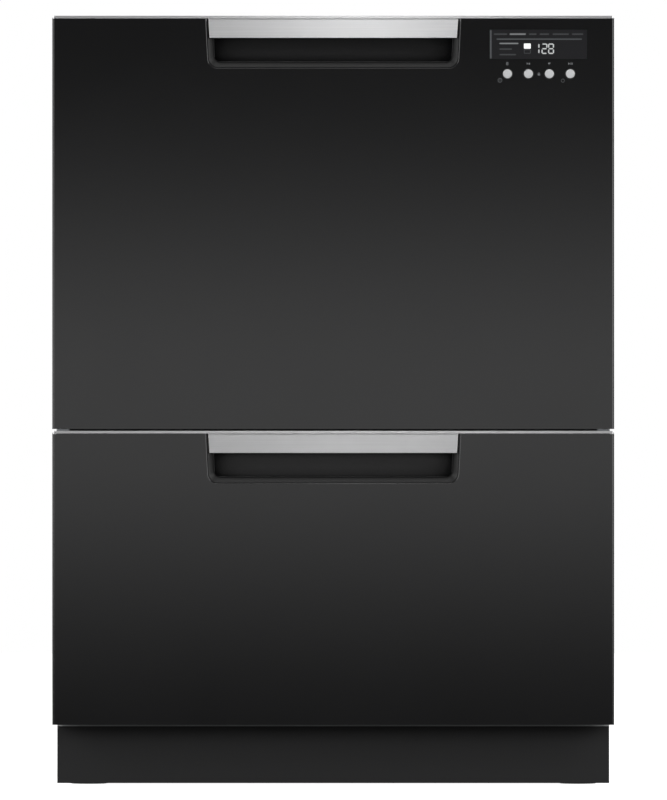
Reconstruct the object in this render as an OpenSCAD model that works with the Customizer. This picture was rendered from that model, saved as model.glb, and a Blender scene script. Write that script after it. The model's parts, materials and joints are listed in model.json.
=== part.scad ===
// Two-drawer dishwasher: a steel cabinet that holds two tubs on telescopic runners,
// each with its own front, lid, racks, spray arm and pump.
// Millimetres. +Z is up, the fronts face -Y, and the origin is on the floor at the middle.

/* [Overall] */
// Width of both drawer fronts
front_w = 599; // [580:1:640]
// Depth from the face of the fronts to the back edge of the cabinet
overall_d = 573; // [570:1:620]
// Height of the upper front
upper_front_h = 440; // [436:1:470]
// Height of the lower front
lower_front_h = 313; // [311:1:330]
// Gap between the two fronts
front_gap = 2; // [1.5:0.5:4]
// Height of the lower edge of the lower front above the floor
toe_h = 65; // [62:1:80]

/* [Cabinet] */
// Width of the cabinet behind the fronts
cabinet_w = 590; // [586:1:596]
// Thickness of the cabinet sheet
sheet_t = 1.2; // [0.8:0.1:1.5]
// Width of the folded flanges
flange_w = 12; // [8:1:14]
// Air gap between the back of the fronts and the cabinet
shadow_gap = 2; // [1.5:0.5:4]
// How far the back panel is set in, which leaves room for the hoses
back_inset = 24.5; // [22:0.5:28]
// Radius of the screw holes in the side panels
side_hole_r = 2.6; // [2:0.1:3.2]
// Distance of the side screw holes from the top and bottom of the cabinet
side_hole_inset = 35; // [25:1:50]

/* [Drawer fronts] */
// Thickness of a drawer front
front_t = 20; // [18:0.5:24]
// Thickness of the coated steel skin
skin_t = 1.2; // [0.8:0.1:1.5]
// How far the skin lies behind the face of the trim
skin_set = 0.3; // [0:0.1:1]
// Radius of the vertical edges of the skin
edge_r = 3; // [2:0.5:4]
// Height of the bright trim along the top edge
trim_h = 3; // [2:0.5:5]
// Wall of the moulded carrier behind the skin
carrier_t = 2; // [1.5:0.5:3]

/* [Handle] */
// Width of the recess at the top edge of the front
recess_w = 271; // [220:1:320]
// Depth of the recess below the top edge of the front
recess_h = 55.5; // [50:0.5:60]
// How much each side of the recess leans in over its height
recess_lean = 2.8; // [1:0.2:5]
// Radius of the lower corners of the recess
recess_r = 10; // [8:0.5:14]
// Width of the sloping rim of the recess
rim_bevel = 7; // [5:0.5:9]
// Depth of the finger pocket behind the face
pocket_d = 29.5; // [27:0.5:30]
// Height of the handle bar below the trim
bar_h = 20; // [16:0.5:24]
// Thickness of the handle bar
bar_t = 2.5; // [2:0.1:3]

/* [Controls] */
// Width of the display window
display_w = 103.6; // [90:0.2:110]
// Height of the display window
display_h = 31.4; // [26:0.2:34]
// Middle of the display from the right edge of the front
display_edge = 81.1; // [76:0.1:110]
// Middle of the display below the top edge
display_drop = 30.4; // [28:0.2:34]
// Middle of the buttons below the top edge
button_drop = 62; // [58:0.5:68]
// Radius of a button
button_r = 5.6; // [4.5:0.1:6.5]
// Distance between the buttons
button_pitch = 22.3; // [20:0.1:26]
// Travel of a button
button_travel = 1; // [0.6:0.1:1.2]

/* [Tub] */
// Room on each side between a tub and the outside of the cabinet
tub_side_gap = 37; // [35:0.5:45]
// Room between a tub and the back panel
tub_rear_gap = 48; // [46:1:68]
// Height inside a tub
tub_h = 240; // [232:1:244]
// Thickness of the tub walls
tub_wall = 3; // [2.5:0.5:4]
// How much each wall leans in towards the floor
tub_lean = 6; // [3:0.5:9]
// Radius of the upright corners
tub_corner_r = 46; // [36:1:60]
// Width of the rim flange
rim_w = 8; // [6:0.5:9]
// Thickness of the rim flange
rim_t = 4; // [3:0.5:5]
// Distance of the tub behind the front edge of the cabinet
tub_setback = 18.5; // [17:0.5:22]
// Rim of the lower tub below the top edge of the lower front
lower_rim_drop = 6; // [5:0.5:10]
// Rim of the upper tub below the top edge of the upper front
upper_rim_drop = 68; // [66:0.5:70]
// Radius of the sump
sump_r = 74; // [68:1:80]
// Depth of the sump
sump_h = 22; // [18:1:24]

/* [Runners] */
// Room between a runner and the back panel
runner_rear_gap = 40; // [20:1:60]
// Height of a runner
runner_h = 45; // [42:1:50]
// Thickness of a closed runner
runner_w = 12.7; // [12.7:0.1:14]
// Thickness of the runner steel
runner_t = 1.2; // [1:0.1:1.3]
// Middle of a runner below the tub rim
runner_drop = 120; // [100:1:140]
// Radius of the bearing balls
ball_r = 1.8; // [1.6:0.05:1.85]
// Balls in one row
ball_count = 6; // [5:1:8]
// Distance between balls
ball_pitch = 30; // [20:1:32]

/* [Lid] */
// How far a lid lifts off its tub
lid_lift = 18; // [14:0.5:20]
// Height of the lid moulding
lid_h = 20; // [16:0.5:22]
// Height of the seal
seal_h = 10; // [8:0.5:12]
// Width of the seal
seal_w = 7; // [6:0.5:8]
// Module of the lid rack and pinion
gear_module = 1.5; // [1.2:0.05:1.6]
// Teeth on a pinion
pinion_teeth = 16; // [14:1:17]

/* [Wash system] */
// Room between the tips of a spray arm and the tub
spray_gap = 9; // [6:0.5:20]
// Height of the dish rack floor above the tub floor
rack_lift = 40; // [38:1:46]
// Radius of the rack wires
wire_r = 2; // [1.5:0.1:2.5]
// Height of the upright tines
tine_h = 62; // [50:1:70]
// Height of the top rail of a rack above its floor
rail_h = 74; // [70:1:90]
// Width of the folding cup shelf
cup_shelf_w = 60; // [50:1:62]
// Wall of the small mouldings
wall_t = 2; // [1.5:0.1:2.5]

/* [Hoses] */
// Radius of the threaded inlet, a 3/4 inch pipe thread
inlet_r = 13.2; // [10:0.1:14]
// Radius of the drain spigots
drain_r = 10.5; // [9:0.5:12]
// Radius of the hole for the cable gland
gland_r = 8; // [6:0.5:12]

/* [Feet] */
// Radius of the foot pads
foot_r = 20; // [16:1:24]
// Radius of the threaded stems
stem_r = 6; // [5:0.5:8]
// How far a foot winds out
foot_travel = 60; // [30:5:60]

/* [Hidden] */
$fn = 48;

// Colours as the object shows them.
black_steel = [0.09, 0.09, 0.095];
brushed_steel = [0.75, 0.75, 0.76];
black_plastic = [0.06, 0.06, 0.065];
zinc_steel = [0.62, 0.64, 0.66];
tub_plastic = [0.78, 0.8, 0.82];
grey_plastic = [0.45, 0.47, 0.5];
nylon_wire = [0.6, 0.63, 0.66];
seal_rubber = [0.2, 0.2, 0.21];
tinted_glass = [0.13, 0.13, 0.14];
board_green = [0.1, 0.35, 0.2];
cap_silver = [0.72, 0.73, 0.74];

// Clearances: seat is left between fixed pieces that touch, run between a shaft and its bore.
seat = 0.3;
run = 0.08;
move_gap = 1;
over = 1;

LOWER = 0;
UPPER = 1;

// Levels and planes.
overall_h = toe_h + lower_front_h + front_gap + upper_front_h;
cab_z0 = toe_h + 1;
cab_z1 = overall_h - 4;
y_face = -overall_d / 2;
y_skin = y_face + skin_set;
y_front_back = y_face + front_t;
y_cab = y_front_back + shadow_gap;
y_back = overall_d / 2;
y_panel = y_back - back_inset;
cab_in = cabinet_w / 2 - sheet_t;
tub_y0 = y_cab + tub_setback;
tub_y1 = y_panel - tub_rear_gap;
tub_w = cabinet_w - 2 * tub_side_gap;
tub_d = tub_y1 - tub_y0;
tub_cy = tub_y0 + tub_d / 2;
boss_x = tub_w / 2 - 58;
display_x = front_w / 2 - display_edge;
pan_z0 = cab_z0 + sheet_t + seat;

function front_h(bay) = bay == UPPER ? upper_front_h : lower_front_h;
function front_z1(bay) = bay == UPPER ? overall_h : toe_h + lower_front_h;
function front_z0(bay) = front_z1(bay) - front_h(bay);
function rim_z(bay) = front_z1(bay) - (bay == UPPER ? upper_rim_drop : lower_rim_drop);
function floor_z(bay) = rim_z(bay) - tub_h;
function runner_z(bay) = rim_z(bay) - runner_drop;
// Half the width of a tub, outside its wall, at a depth below the rim.
function tub_half(depth) = tub_w / 2 - tub_lean * depth / tub_h;

// ---- shapes used by many pieces ----

// Corner points of a rectangle with round corners, centred on the origin.
function round_rect(w, d, r, steps = 8) = [
  for (q = [0 : 3], i = [0 : steps])
    let (a = 90 * q + 90 * i / steps,
         cx = (q == 0 || q == 3 ? 1 : -1) * (w / 2 - r),
         cy = (q < 2 ? 1 : -1) * (d / 2 - r))
    [cx + r * cos(a), cy + r * sin(a)]];

module slab(w, d, h, r) {
  linear_extrude(h) polygon(round_rect(w, d, r));
}

// A ring of that width, inside a w by d outline.
module ring(w, d, h, r, wide) {
  difference() {
    slab(w, d, h, r);
    translate([0, 0, -over]) slab(w - 2 * wide, d - 2 * wide, h + 2 * over, max(r - wide, 1));
  }
}

// Sweeps a profile drawn in x and z along y, from y0 over a length.
module along_y(y0, length) {
  translate([0, y0 + length, 0]) rotate([90, 0, 0]) linear_extrude(length) children();
}

// Sweeps a profile drawn in y and z along x, from x0 over a length.
module along_x(x0, length) {
  translate([x0, 0, 0]) rotate([90, 0, 90]) linear_extrude(length) children();
}

// Draws its children, modelled on the right, on the side asked for.
module on_side(side) {
  mirror([side < 0 ? 1 : 0, 0, 0]) children();
}

module both_sides() {
  for (side = [-1, 1]) on_side(side) children();
}

// A box between two opposite corners.
module block(low, high) {
  translate(low) cube(high - low);
}

// A straight round bar between two points that differ along one axis.
module bar(from, to, r) {
  d = to - from;
  turn = d[0] != 0 ? [0, 90, 0] : d[1] != 0 ? [-90, 0, 0] : [0, 0, 0];
  translate(from) rotate(turn) cylinder(r = r, h = norm(d));
}

// ---- cabinet ----

// The front edge is folded inwards and notched where the runners pass.
module side_panel() {
  bead_h = 10;
  color(zinc_steel) difference() {
    union() {
      block([cab_in, y_cab, cab_z0], [cabinet_w / 2, y_back, cab_z1]);
      block([cab_in - flange_w, y_cab, cab_z0], [cab_in + 0.5, y_cab + sheet_t, cab_z1]);
      block([cab_in - flange_w, y_back - sheet_t, cab_z0], [cab_in + 0.5, y_back, cab_z1]);
      block([cab_in - flange_w, y_cab, cab_z0], [cab_in + 0.5, y_back, cab_z0 + sheet_t]);
      for (bay = [LOWER, UPPER], drop = [60, 200])
        translate([cab_in - sheet_t, y_cab + 60, rim_z(bay) - drop])
          cube([sheet_t + 0.5, overall_d - 160, bead_h + 2 * sheet_t]);
    }
    for (bay = [LOWER, UPPER]) {
      translate([cab_in - flange_w - over, y_cab - over, runner_z(bay) - runner_h / 2 - 3])
        cube([flange_w + over - 0.1, sheet_t + 2 * over, runner_h + 6]);
      for (drop = [60, 200])
        translate([cabinet_w / 2 - sheet_t, y_cab + 60 + sheet_t, rim_z(bay) - drop + sheet_t])
          cube([sheet_t + over, overall_d - 160 - 2 * sheet_t, bead_h]);
    }
    for (z = [cab_z0 + side_hole_inset, cab_z1 - side_hole_inset])
      translate([0, y_cab + 14.5, z]) rotate([0, 90, 0]) cylinder(r = side_hole_r, h = cabinet_w);
  }
}

module left_side_panel() { on_side(-1) side_panel(); }
module right_side_panel() { side_panel(); }

inlet_at = [-220, cab_z0 + 44];
drain_at = [[196, cab_z0 + 44], [236, cab_z0 + 44]];
gland_at = [-150, cab_z0 + 44];
panel_half = cab_in - seat;
// Each spigot stands on a collar that passes through the back panel.
collar_y = y_panel + 2;
collar_r = inlet_r + 4;

// A tray that opens backwards, with holes for the hoses and the cable gland.
module back_panel() {
  z0 = pan_z0 + 18;
  z1 = cab_z1 - sheet_t - seat;
  fold = 14;
  color(zinc_steel) difference() {
    union() {
      block([-panel_half, y_panel - sheet_t, cab_z0 + sheet_t + seat], [panel_half, y_panel, z1]);
      for (s = [0, 1]) mirror([s, 0, 0])
        block([panel_half - sheet_t, y_panel - sheet_t, z0], [panel_half, y_panel + fold, z1]);
      block([-panel_half, y_panel - sheet_t, z1 - sheet_t], [panel_half, y_panel + fold, z1]);
      for (z = [z0 + 110 : 160 : z1 - 80])
        block([-panel_half + 50, y_panel - 0.5, z], [panel_half - 50, y_panel + 3, z + 14]);
    }
    for (z = [z0 + 110 : 160 : z1 - 80])
      block([-panel_half + 50 + sheet_t, y_panel - sheet_t - over, z + sheet_t],
            [panel_half - 50 - sheet_t, y_panel + 3 - sheet_t, z + 14 - sheet_t]);
    translate([inlet_at[0], y_back, inlet_at[1]]) rotate([90, 0, 0])
      cylinder(r = collar_r + seat, h = overall_d / 2);
    for (at = drain_at) translate([at[0], y_back, at[1]]) rotate([90, 0, 0])
      cylinder(r = drain_r + 3 + seat, h = overall_d / 2);
    translate([gland_at[0], y_back, gland_at[1]]) rotate([90, 0, 0])
      cylinder(r = gland_r, h = overall_d / 2);
  }
}

// A tray that opens downwards. Its front edge is set back, to clear the finger pocket of the front.
module top_panel() {
  y0 = y_face + pocket_d + 1.5;
  y1 = y_back - sheet_t - seat;
  drop = 20;
  z = cab_z1 - sheet_t;
  rib_xs = [for (i = [-1.5 : 1 : 1.5]) i * (panel_half - 113.5) / 1.5];
  color(zinc_steel) difference() {
    union() {
      block([-panel_half, y0, z], [panel_half, y1, cab_z1]);
      block([-panel_half, y0, cab_z1 - drop], [panel_half, y0 + sheet_t, cab_z1]);
      block([-panel_half, y1 - sheet_t, cab_z1 - drop], [panel_half, y1, cab_z1]);
      for (s = [0, 1]) mirror([s, 0, 0])
        block([panel_half - sheet_t, y0, cab_z1 - drop], [panel_half, y_panel - 2, cab_z1]);
      for (x = rib_xs)
        block([x - 8, y0 + 32, z - sheet_t], [x + 8, y_panel - 40, z + 0.5]);
    }
    for (x = rib_xs)
      block([x - 8 + sheet_t, y0 + 32 + sheet_t, z], [x + 8 - sheet_t, y_panel - 40 - sheet_t, cab_z1 + over]);
  }
}

foot_x = cabinet_w / 2 - 33;
foot_y = [y_cab + 64.5, y_panel - 27];
sleeve_z0 = 24;
stem_z1 = 100;
kick_y = y_face + 50;
kick_t = 1.5;
kick_z1 = toe_h - 0.2;

// The moulded floor of the cabinet catches drips and carries the foot sleeves.
module base_pan() {
  y0 = y_cab + sheet_t + seat;
  y1 = y_panel - sheet_t - seat;
  wall = 3;
  wall_h = 17;
  color(black_plastic) difference() {
    union() {
      block([-panel_half, y0, pan_z0], [panel_half, y1, pan_z0 + wall]);
      difference() {
        block([-panel_half, y0, pan_z0], [panel_half, y1, pan_z0 + wall_h]);
        block([-panel_half + wall, y0 + wall, pan_z0 - over],
              [panel_half - wall, y1 - wall, pan_z0 + wall_h + over]);
        // The pump of the lower drawer passes here.
        block([-90, y0 - over, pan_z0 + wall + 1], [90, y0 + 2 * wall, pan_z0 + wall_h + over]);
      }
      for (x = [-foot_x, foot_x], y = foot_y)
        translate([x, y, sleeve_z0]) cylinder(r = stem_r + 5, h = stem_z1 + 4 - sleeve_z0);
      // Ribs below the floor.
      for (x = [for (i = [-2.5 : 1 : 2.5]) i * (panel_half - 103.5) / 2.5])
        block([x - 1.5, y0 + 40, cab_z0 - 14], [x + 1.5, y1 - 20, pan_z0 + 1]);
      for (y = [y0 + 110 : 130 : y1 - 100])
        block([-200, y - 1.5, cab_z0 - 14], [200, y + 1.5, pan_z0 + 1]);
      // Lugs that hold the kick strip.
      for (x = [-150, 150]) {
        block([x - 10, kick_y + kick_t + 0.2, 20], [x + 10, kick_y + 9, kick_z1 - 2.5]);
        block([x - 10, kick_y + 8.5, 20], [x + 10, kick_y + 17, pan_z0 + 1]);
      }
    }
    for (x = [-foot_x, foot_x], y = foot_y)
      translate([x, y, sleeve_z0 - over]) cylinder(r = stem_r + run, h = stem_z1 + 2 - sleeve_z0 + over);
  }
}

// A channel across the cabinet between the two drawers.
module mid_rail() {
  z0 = rim_z(LOWER) + 58;
  h = 18;
  y0 = y_cab + sheet_t + seat;
  depth = 30;
  color(zinc_steel) difference() {
    block([-panel_half, y0, z0], [panel_half, y0 + depth, z0 + h]);
    block([-panel_half - over, y0 + sheet_t, z0 + sheet_t],
          [panel_half + over, y0 + depth + over, z0 + h - sheet_t]);
    for (x = [for (i = [-2.5 : 1 : 2.5]) i * (panel_half - 53.5) / 2.5])
      translate([x, y0 + 18, z0 + 9]) cylinder(r = 4, h = h);
  }
}

// The strip under the lower drawer, turned back along its top edge.
module kick_strip() {
  lip = 8;
  color(black_steel) union() {
    block([-cabinet_w / 2, kick_y, 1.4], [cabinet_w / 2, kick_y + kick_t, kick_z1]);
    block([-cabinet_w / 2, kick_y, kick_z1 - 1.2], [cabinet_w / 2, kick_y + lip, kick_z1]);
    for (x = [-cabinet_w / 2, cabinet_w / 2 - 1.2])
      block([x, kick_y, 1.4], [x + 1.2, kick_y + lip, kick_z1]);
  }
}

// Inlet valve and two drain spigots, inside the outline of the cabinet.
module hose_connections() {
  reach = y_back - 0.5;
  y_in = y_panel - sheet_t - seat;
  color(black_plastic) {
    translate([inlet_at[0], 0, inlet_at[1]]) difference() {
      union() {
        block([-20, y_in - 20, -20], [20, y_in, 20]);
        translate([0, y_in - 1, 0]) rotate([-90, 0, 0]) cylinder(r = collar_r, h = collar_y - y_in + 1);
        translate([0, collar_y - 1, 0]) rotate([-90, 0, 0]) cylinder(r = inlet_r, h = reach - collar_y + 1);
        translate([0, y_in - 15, 18]) cylinder(r = 14, h = 26);
      }
      translate([0, reach - 20, 0]) rotate([-90, 0, 0]) cylinder(r = 8.5, h = 21);
    }
    for (at = drain_at) translate([at[0], 0, at[1]]) difference() {
      union() {
        block([-17, y_in - 6, -17], [17, y_in, 17]);
        translate([0, y_in - 1, 0]) rotate([-90, 0, 0]) cylinder(r = drain_r + 3, h = collar_y - y_in + 1);
        translate([0, collar_y - 1, 0]) rotate([-90, 0, 0]) cylinder(r = drain_r, h = reach - collar_y + 1);
      }
      translate([0, y_in - 8, 0]) rotate([-90, 0, 0]) cylinder(r = drain_r - 2.5, h = 60);
    }
  }
}

// A foot: pad, hexagon for a spanner and a stem in the sleeve of the base pan.
module foot(x, y) {
  translate([x, y, 0]) color(black_plastic) {
    cylinder(r1 = foot_r, r2 = foot_r - 2, h = 8);
    translate([0, 0, 7]) cylinder(r = 10, h = 8, $fn = 6);
    translate([0, 0, 10]) cylinder(r = stem_r, h = stem_z1 - 10);
  }
}

module front_left_foot() { foot(-foot_x, foot_y[0]); }
module front_right_foot() { foot(foot_x, foot_y[0]); }
module rear_left_foot() { foot(-foot_x, foot_y[1]); }
module rear_right_foot() { foot(foot_x, foot_y[1]); }

// ---- runners: the fixed channel is on the cabinet, the middle one moves half as far ----

run_x1 = cab_in - 0.1;
run_x0 = run_x1 - runner_w;
run_y0 = y_cab + 6.5;
runner_len = y_panel - runner_rear_gap - run_y0;
ball_gap = 0.2;
// Half heights of the flanges, from the outside in.
out_half = runner_h / 2;
mid_half = out_half - runner_t - 2 * (ball_r + ball_gap);
in_half = mid_half - runner_t - 2 * (ball_r + ball_gap);
outer_ball_z = out_half - runner_t - ball_r - ball_gap;
inner_ball_z = mid_half - runner_t - ball_r - ball_gap;

// A channel: web between x0 and x0 + t, flanges reaching to x1 (which may be on either side).
module channel(x_web, x_lip, half, length) {
  lo = min(x_web, x_lip);
  hi = max(x_web + runner_t, x_lip);
  difference() {
    block([lo, 0, -half], [hi, length, half]);
    if (x_lip < x_web) block([lo - over, -over, -half + runner_t], [x_web, length + over, half - runner_t]);
    else block([x_web + runner_t, -over, -half + runner_t], [hi + over, length + over, half - runner_t]);
  }
}

module fixed_runners() {
  for (bay = [LOWER, UPPER]) both_sides() translate([0, run_y0, runner_z(bay)]) color(zinc_steel) difference() {
    channel(run_x1 - runner_t, run_x0 + 3, out_half, runner_len);
    for (y = [30, runner_len / 2, runner_len - 30])
      translate([0, y, 0]) rotate([0, 90, 0]) cylinder(r = 3, h = cabinet_w);
  }
}

// A row of balls with the cage strip beside it.
module ball_row(x, y0, z) {
  color(brushed_steel) {
    translate([x + ball_r + 0.05, y0 - 4, z - 1.4]) cube([0.6, (ball_count - 1) * ball_pitch + 8, 2.8]);
    for (i = [0 : ball_count - 1]) translate([x, y0 + i * ball_pitch, z]) sphere(r = ball_r, $fn = 20);
  }
}

module middle_runners(bay) {
  web = run_x1 - runner_t - 3.5;
  row = (ball_count - 1) * ball_pitch;
  both_sides() translate([0, run_y0, runner_z(bay)]) {
    color(zinc_steel) channel(web, run_x0 + 1.5, mid_half, runner_len);
    for (s = [-1, 1]) {
      ball_row(run_x0 + 6, runner_len - 24 - row, s * outer_ball_z);
      ball_row(run_x0 + 4, 24, s * inner_ball_z);
    }
  }
}

module inner_runners(bay) {
  both_sides() translate([0, run_y0, runner_z(bay)]) color(zinc_steel) difference() {
    channel(run_x0, run_x0 + 6, in_half, runner_len);
    for (y = [60, runner_len - 60])
      translate([0, y, 0]) rotate([0, 90, 0]) cylinder(r = 2.6, h = cabinet_w);
  }
}

// ---- drawer fronts: steel skin, trim with the handle bar, finger pocket and carrier ----

groove_h = 1.4;
bar_z0 = trim_h + bar_h + 0.4;
rim_gap = 0.2;

// Half width of the recess at a drop below the top edge.
function side_x(drop, inset) = recess_w / 2 - recess_lean * drop / recess_h - inset;

// Outline of the recess in x and z, measured from the top edge of the front.
function recess_points(inset, top) =
  let (r = max(recess_r - inset, 2), drop = recess_h - inset - r, cx = side_x(drop, inset) - r,
       right = [for (a = [0 : 15 : 90]) [cx + r * cos(a), -drop - r * sin(a)]])
  concat([[side_x(top, inset), -top]], right,
         [for (i = [len(right) - 1 : -1 : 0]) [-right[i][0], right[i][1]]],
         [[-side_x(top, inset), -top]]);

module recess(y0, length, inset, top) {
  along_y(y0, length) polygon(recess_points(inset, top));
}

// Plan of a front: square at the back, round at the two front edges.
function front_plan(inset, back) =
  let (r = edge_r - inset, x = front_w / 2 - edge_r, y = y_face + edge_r)
  concat([[x + r, back]], [for (a = [0 : 15 : 90]) [x + r * cos(a), y - r * sin(a)]],
         [for (a = [90 : -15 : 0]) [-x - r * cos(a), y - r * sin(a)]], [[-x - r, back]]);

button_xs = [for (i = [-1.5 : 1 : 1.5]) display_x + 0.6 + i * button_pitch];

module front_skin(bay) {
  z0 = front_z0(bay);
  z1 = front_z1(bay) - trim_h - rim_gap;
  color(black_steel) difference() {
    translate([0, 0, z0]) linear_extrude(z1 - z0) polygon(front_plan(skin_set, y_front_back - 1));
    translate([0, 0, z0 + skin_t]) linear_extrude(z1 - z0) polygon(front_plan(skin_set + skin_t, y_front_back));
    translate([0, 0, front_z1(bay)]) {
      recess(y_face - over, front_t, 0, 0);
      // The edge round the recess is rolled.
      hull() {
        recess(y_skin - 0.1, 0.1, -0.8, 0);
        recess(y_skin + 0.2, 0.05, -0.35, 0);
      }
      hull() {
        recess(y_skin, 0.2, -0.35, 0);
        recess(y_skin + 0.85, 0.05, 0.01, 0);
      }
    }
    if (bay == UPPER) {
      block([display_x - display_w / 2 - 0.2, y_face - over, front_z1(bay) - display_drop - display_h / 2 - 0.2],
            [display_x + display_w / 2 + 0.2, y_face + front_t / 2, front_z1(bay) - display_drop + display_h / 2 + 0.2]);
      for (x = button_xs) translate([x, y_face + front_t / 2, front_z1(bay) - button_drop])
        rotate([90, 0, 0]) cylinder(r = button_r + 0.6, h = front_t);
    }
  }
}

// The strip along the top edge and the handle bar are one folded piece with a groove between.
module handle_trim(bay) {
  top_half = side_x(trim_h, 2.2);
  low_half = side_x(bar_z0, 2.6);
  translate([0, 0, front_z1(bay)]) color(brushed_steel) difference() {
    union() {
      translate([0, 0, -trim_h]) linear_extrude(trim_h) polygon(front_plan(0, y_front_back));
      along_y(y_face, bar_t)
        polygon([[-top_half, -trim_h + 1], [top_half, -trim_h + 1], [low_half, -bar_z0], [-low_half, -bar_z0]]);
      along_x(-low_half, 2 * low_half)
        polygon([[y_face + 1, -bar_z0], [y_face + 7, -bar_z0], [y_face + 7, -bar_z0 + 4],
                 [y_face + 5.5, -bar_z0 + 4], [y_face + 5.5, -bar_z0 + 1.6], [y_face + 1, -bar_z0 + 1.6]]);
    }
    along_x(-front_w, 2 * front_w)
      polygon([[y_face - over, -trim_h + 0.4], [y_face, -trim_h + 0.4], [y_face + 1.3, -trim_h - groove_h + 0.5],
               [y_face + 0.3, -trim_h - groove_h], [y_face - over, -trim_h - groove_h]]);
    // The ends of the strip are cut at a slant.
    for (s = [0, 1]) mirror([s, 0, 0]) along_y(y_face - over, front_t + 2 * over)
      polygon([[front_w / 2 + over, -trim_h - over], [front_w / 2 + over, over], [front_w / 2 - 3, over], [front_w / 2 - 2.3, 0], [front_w / 2, -trim_h]]);
  }
}

module handle_pocket(bay) {
  top = trim_h + rim_gap;
  translate([0, 0, front_z1(bay)]) color(black_plastic) difference() {
    union() {
      recess(y_skin + 0.1, 8, rim_gap, top);
      recess(y_face + 7, pocket_d - 7, rim_bevel - 2.2, top);
    }
    // Steep rim, then a narrow ledge.
    hull() {
      recess(y_skin - 0.2, 0.3, 0.8, top - over);
      recess(y_skin + 5.2, 0.1, rim_bevel - 2.2, top - over);
    }
    hull() {
      recess(y_skin + 4, 1.3, rim_bevel - 2.2, top - over);
      recess(y_skin + 6, 0.1, rim_bevel, top - over);
    }
    // Room for the fingers, up behind the bar.
    recess(y_face + 5, pocket_d - 7, rim_bevel, top + 2.5);
    // Seat of the bar.
    block([-side_x(top, 1.6), y_face - over, -bar_z0 - rim_gap], [side_x(top, 1.6), y_face + bar_t + 0.3, over]);
    block([-side_x(top, 1.6), y_face, -bar_z0 - rim_gap], [side_x(top, 1.6), y_face + 7.3, -bar_z0 + 4.3]);
  }
}

// The moulded carrier stiffens the skin; the tub is screwed to its back plate.
module front_carrier(bay) {
  z0 = front_z0(bay) + skin_t + seat;
  z1 = front_z1(bay) - trim_h - rim_gap;
  half = front_w / 2 - skin_set - skin_t - seat;
  y0 = y_skin + skin_t + seat;
  y1 = y_front_back;
  top = front_z1(bay);
  color(black_plastic) difference() {
    union() {
      block([-half, y1 - carrier_t, z0], [half, y1, z1 - 0.3]);
      for (s = [0, 1]) mirror([s, 0, 0]) block([half - carrier_t, y_face + edge_r + 1, z0], [half, y1, z1 - 0.3]);
      for (z = [z0, z1 - 0.3 - carrier_t]) block([-half + 4, y0, z], [half - 4, y1, z + carrier_t]);
      for (x = [for (i = [-3 : 3]) i * (half - 72.7) / 3]) block([x - 1, y0, z0], [x + 1, y1, z1 - 0.3]);
      for (z = [z0 + 72 : 72 : z1 - 30]) block([-half + 4, y0, z], [half - 4, y1, z + carrier_t]);
      if (bay == UPPER) for (x = [display_x - 48, display_x + 48], drop = [20, 66])
        translate([x, y1, top - drop]) rotate([90, 0, 0]) cylinder(r = 3.5, h = 7);
    }
    translate([0, 0, top]) recess(y_face - over, front_t + 2 * over, -0.6, trim_h);
    if (bay == UPPER)
      block([display_x - 62, y_face, top - 74], [display_x + 62, y1 - 7.2, top - 10]);
    // Screw holes into the tub bosses.
    for (x = [-boss_x, 0, boss_x], drop = [75, 200])
      translate([x, y1 + over, rim_z(bay) - drop]) rotate([90, 0, 0]) cylinder(r = 2.2, h = carrier_t + 2 * over);
  }
}

// ---- controls ----

module display_window() {
  color(tinted_glass)
    translate([display_x - display_w / 2, y_skin, overall_h - display_drop - display_h / 2])
      cube([display_w, 2, display_h]);
}

button_end = y_face + 7.5;
board_y = button_end + button_travel + 2.5;

// Circuit board with the display module and a switch behind each button.
module control_board() {
  z = overall_h - display_drop;
  difference() {
    union() {
      color(board_green) block([display_x - 57, board_y, overall_h - 71], [display_x + 57, board_y + 1.6, overall_h - 12]);
      color(black_plastic) block([display_x - 48, y_skin + 2.2, z - 13], [display_x + 48, board_y + 0.2, z + 13]);
      for (x = button_xs) color(black_plastic)
        block([x - 3, button_end + button_travel + 0.1, overall_h - button_drop - 3], [x + 3, board_y + 0.2, overall_h - button_drop + 3]);
    }
    for (x = [display_x - 48, display_x + 48]) translate([x, board_y + 3, overall_h - 66])
      rotate([90, 0, 0]) cylinder(r = 1.5, h = 6);
  }
}

module button(i) {
  translate([button_xs[i], y_skin + 0.2, overall_h - button_drop]) rotate([-90, 0, 0]) color(cap_silver) {
    cylinder(r1 = button_r - 0.4, r2 = button_r, h = 0.5);
    translate([0, 0, 0.4]) cylinder(r = button_r, h = 2);
    translate([0, 0, skin_t + 0.2]) cylinder(r = button_r + 1.6, h = 1.3);
    translate([0, 0, 2]) cylinder(r = 2.5, h = button_end - y_skin - 2.2);
  }
}

module button_1() { button(0); }
module button_2() { button(1); }
module button_3() { button(2); }
module button_4() { button(3); }

// ---- tub ----

// A slice of the tub, inset from its outside and centred on the tub.
module tub_slice(depth, inset, bay) {
  w = 2 * (tub_half(depth) - inset);
  translate([0, tub_cy, rim_z(bay) - depth]) slab(w, w - (tub_w - tub_d), 0.05, tub_corner_r - inset);
}

module tub_body(inset, bay, rise) {
  hull() {
    tub_slice(-rise, inset, bay);
    tub_slice(tub_h - 16, inset, bay);
    tub_slice(tub_h - 5, inset + 4, bay);
    tub_slice(tub_h + tub_wall - inset, inset + 15, bay);
  }
}

hinge_drop = 78;
hinge_x = -(tub_w / 2 - 19);
hinge_r = 3;
shelf_y = [tub_y0 + 70, tub_y1 - 90];

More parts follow.
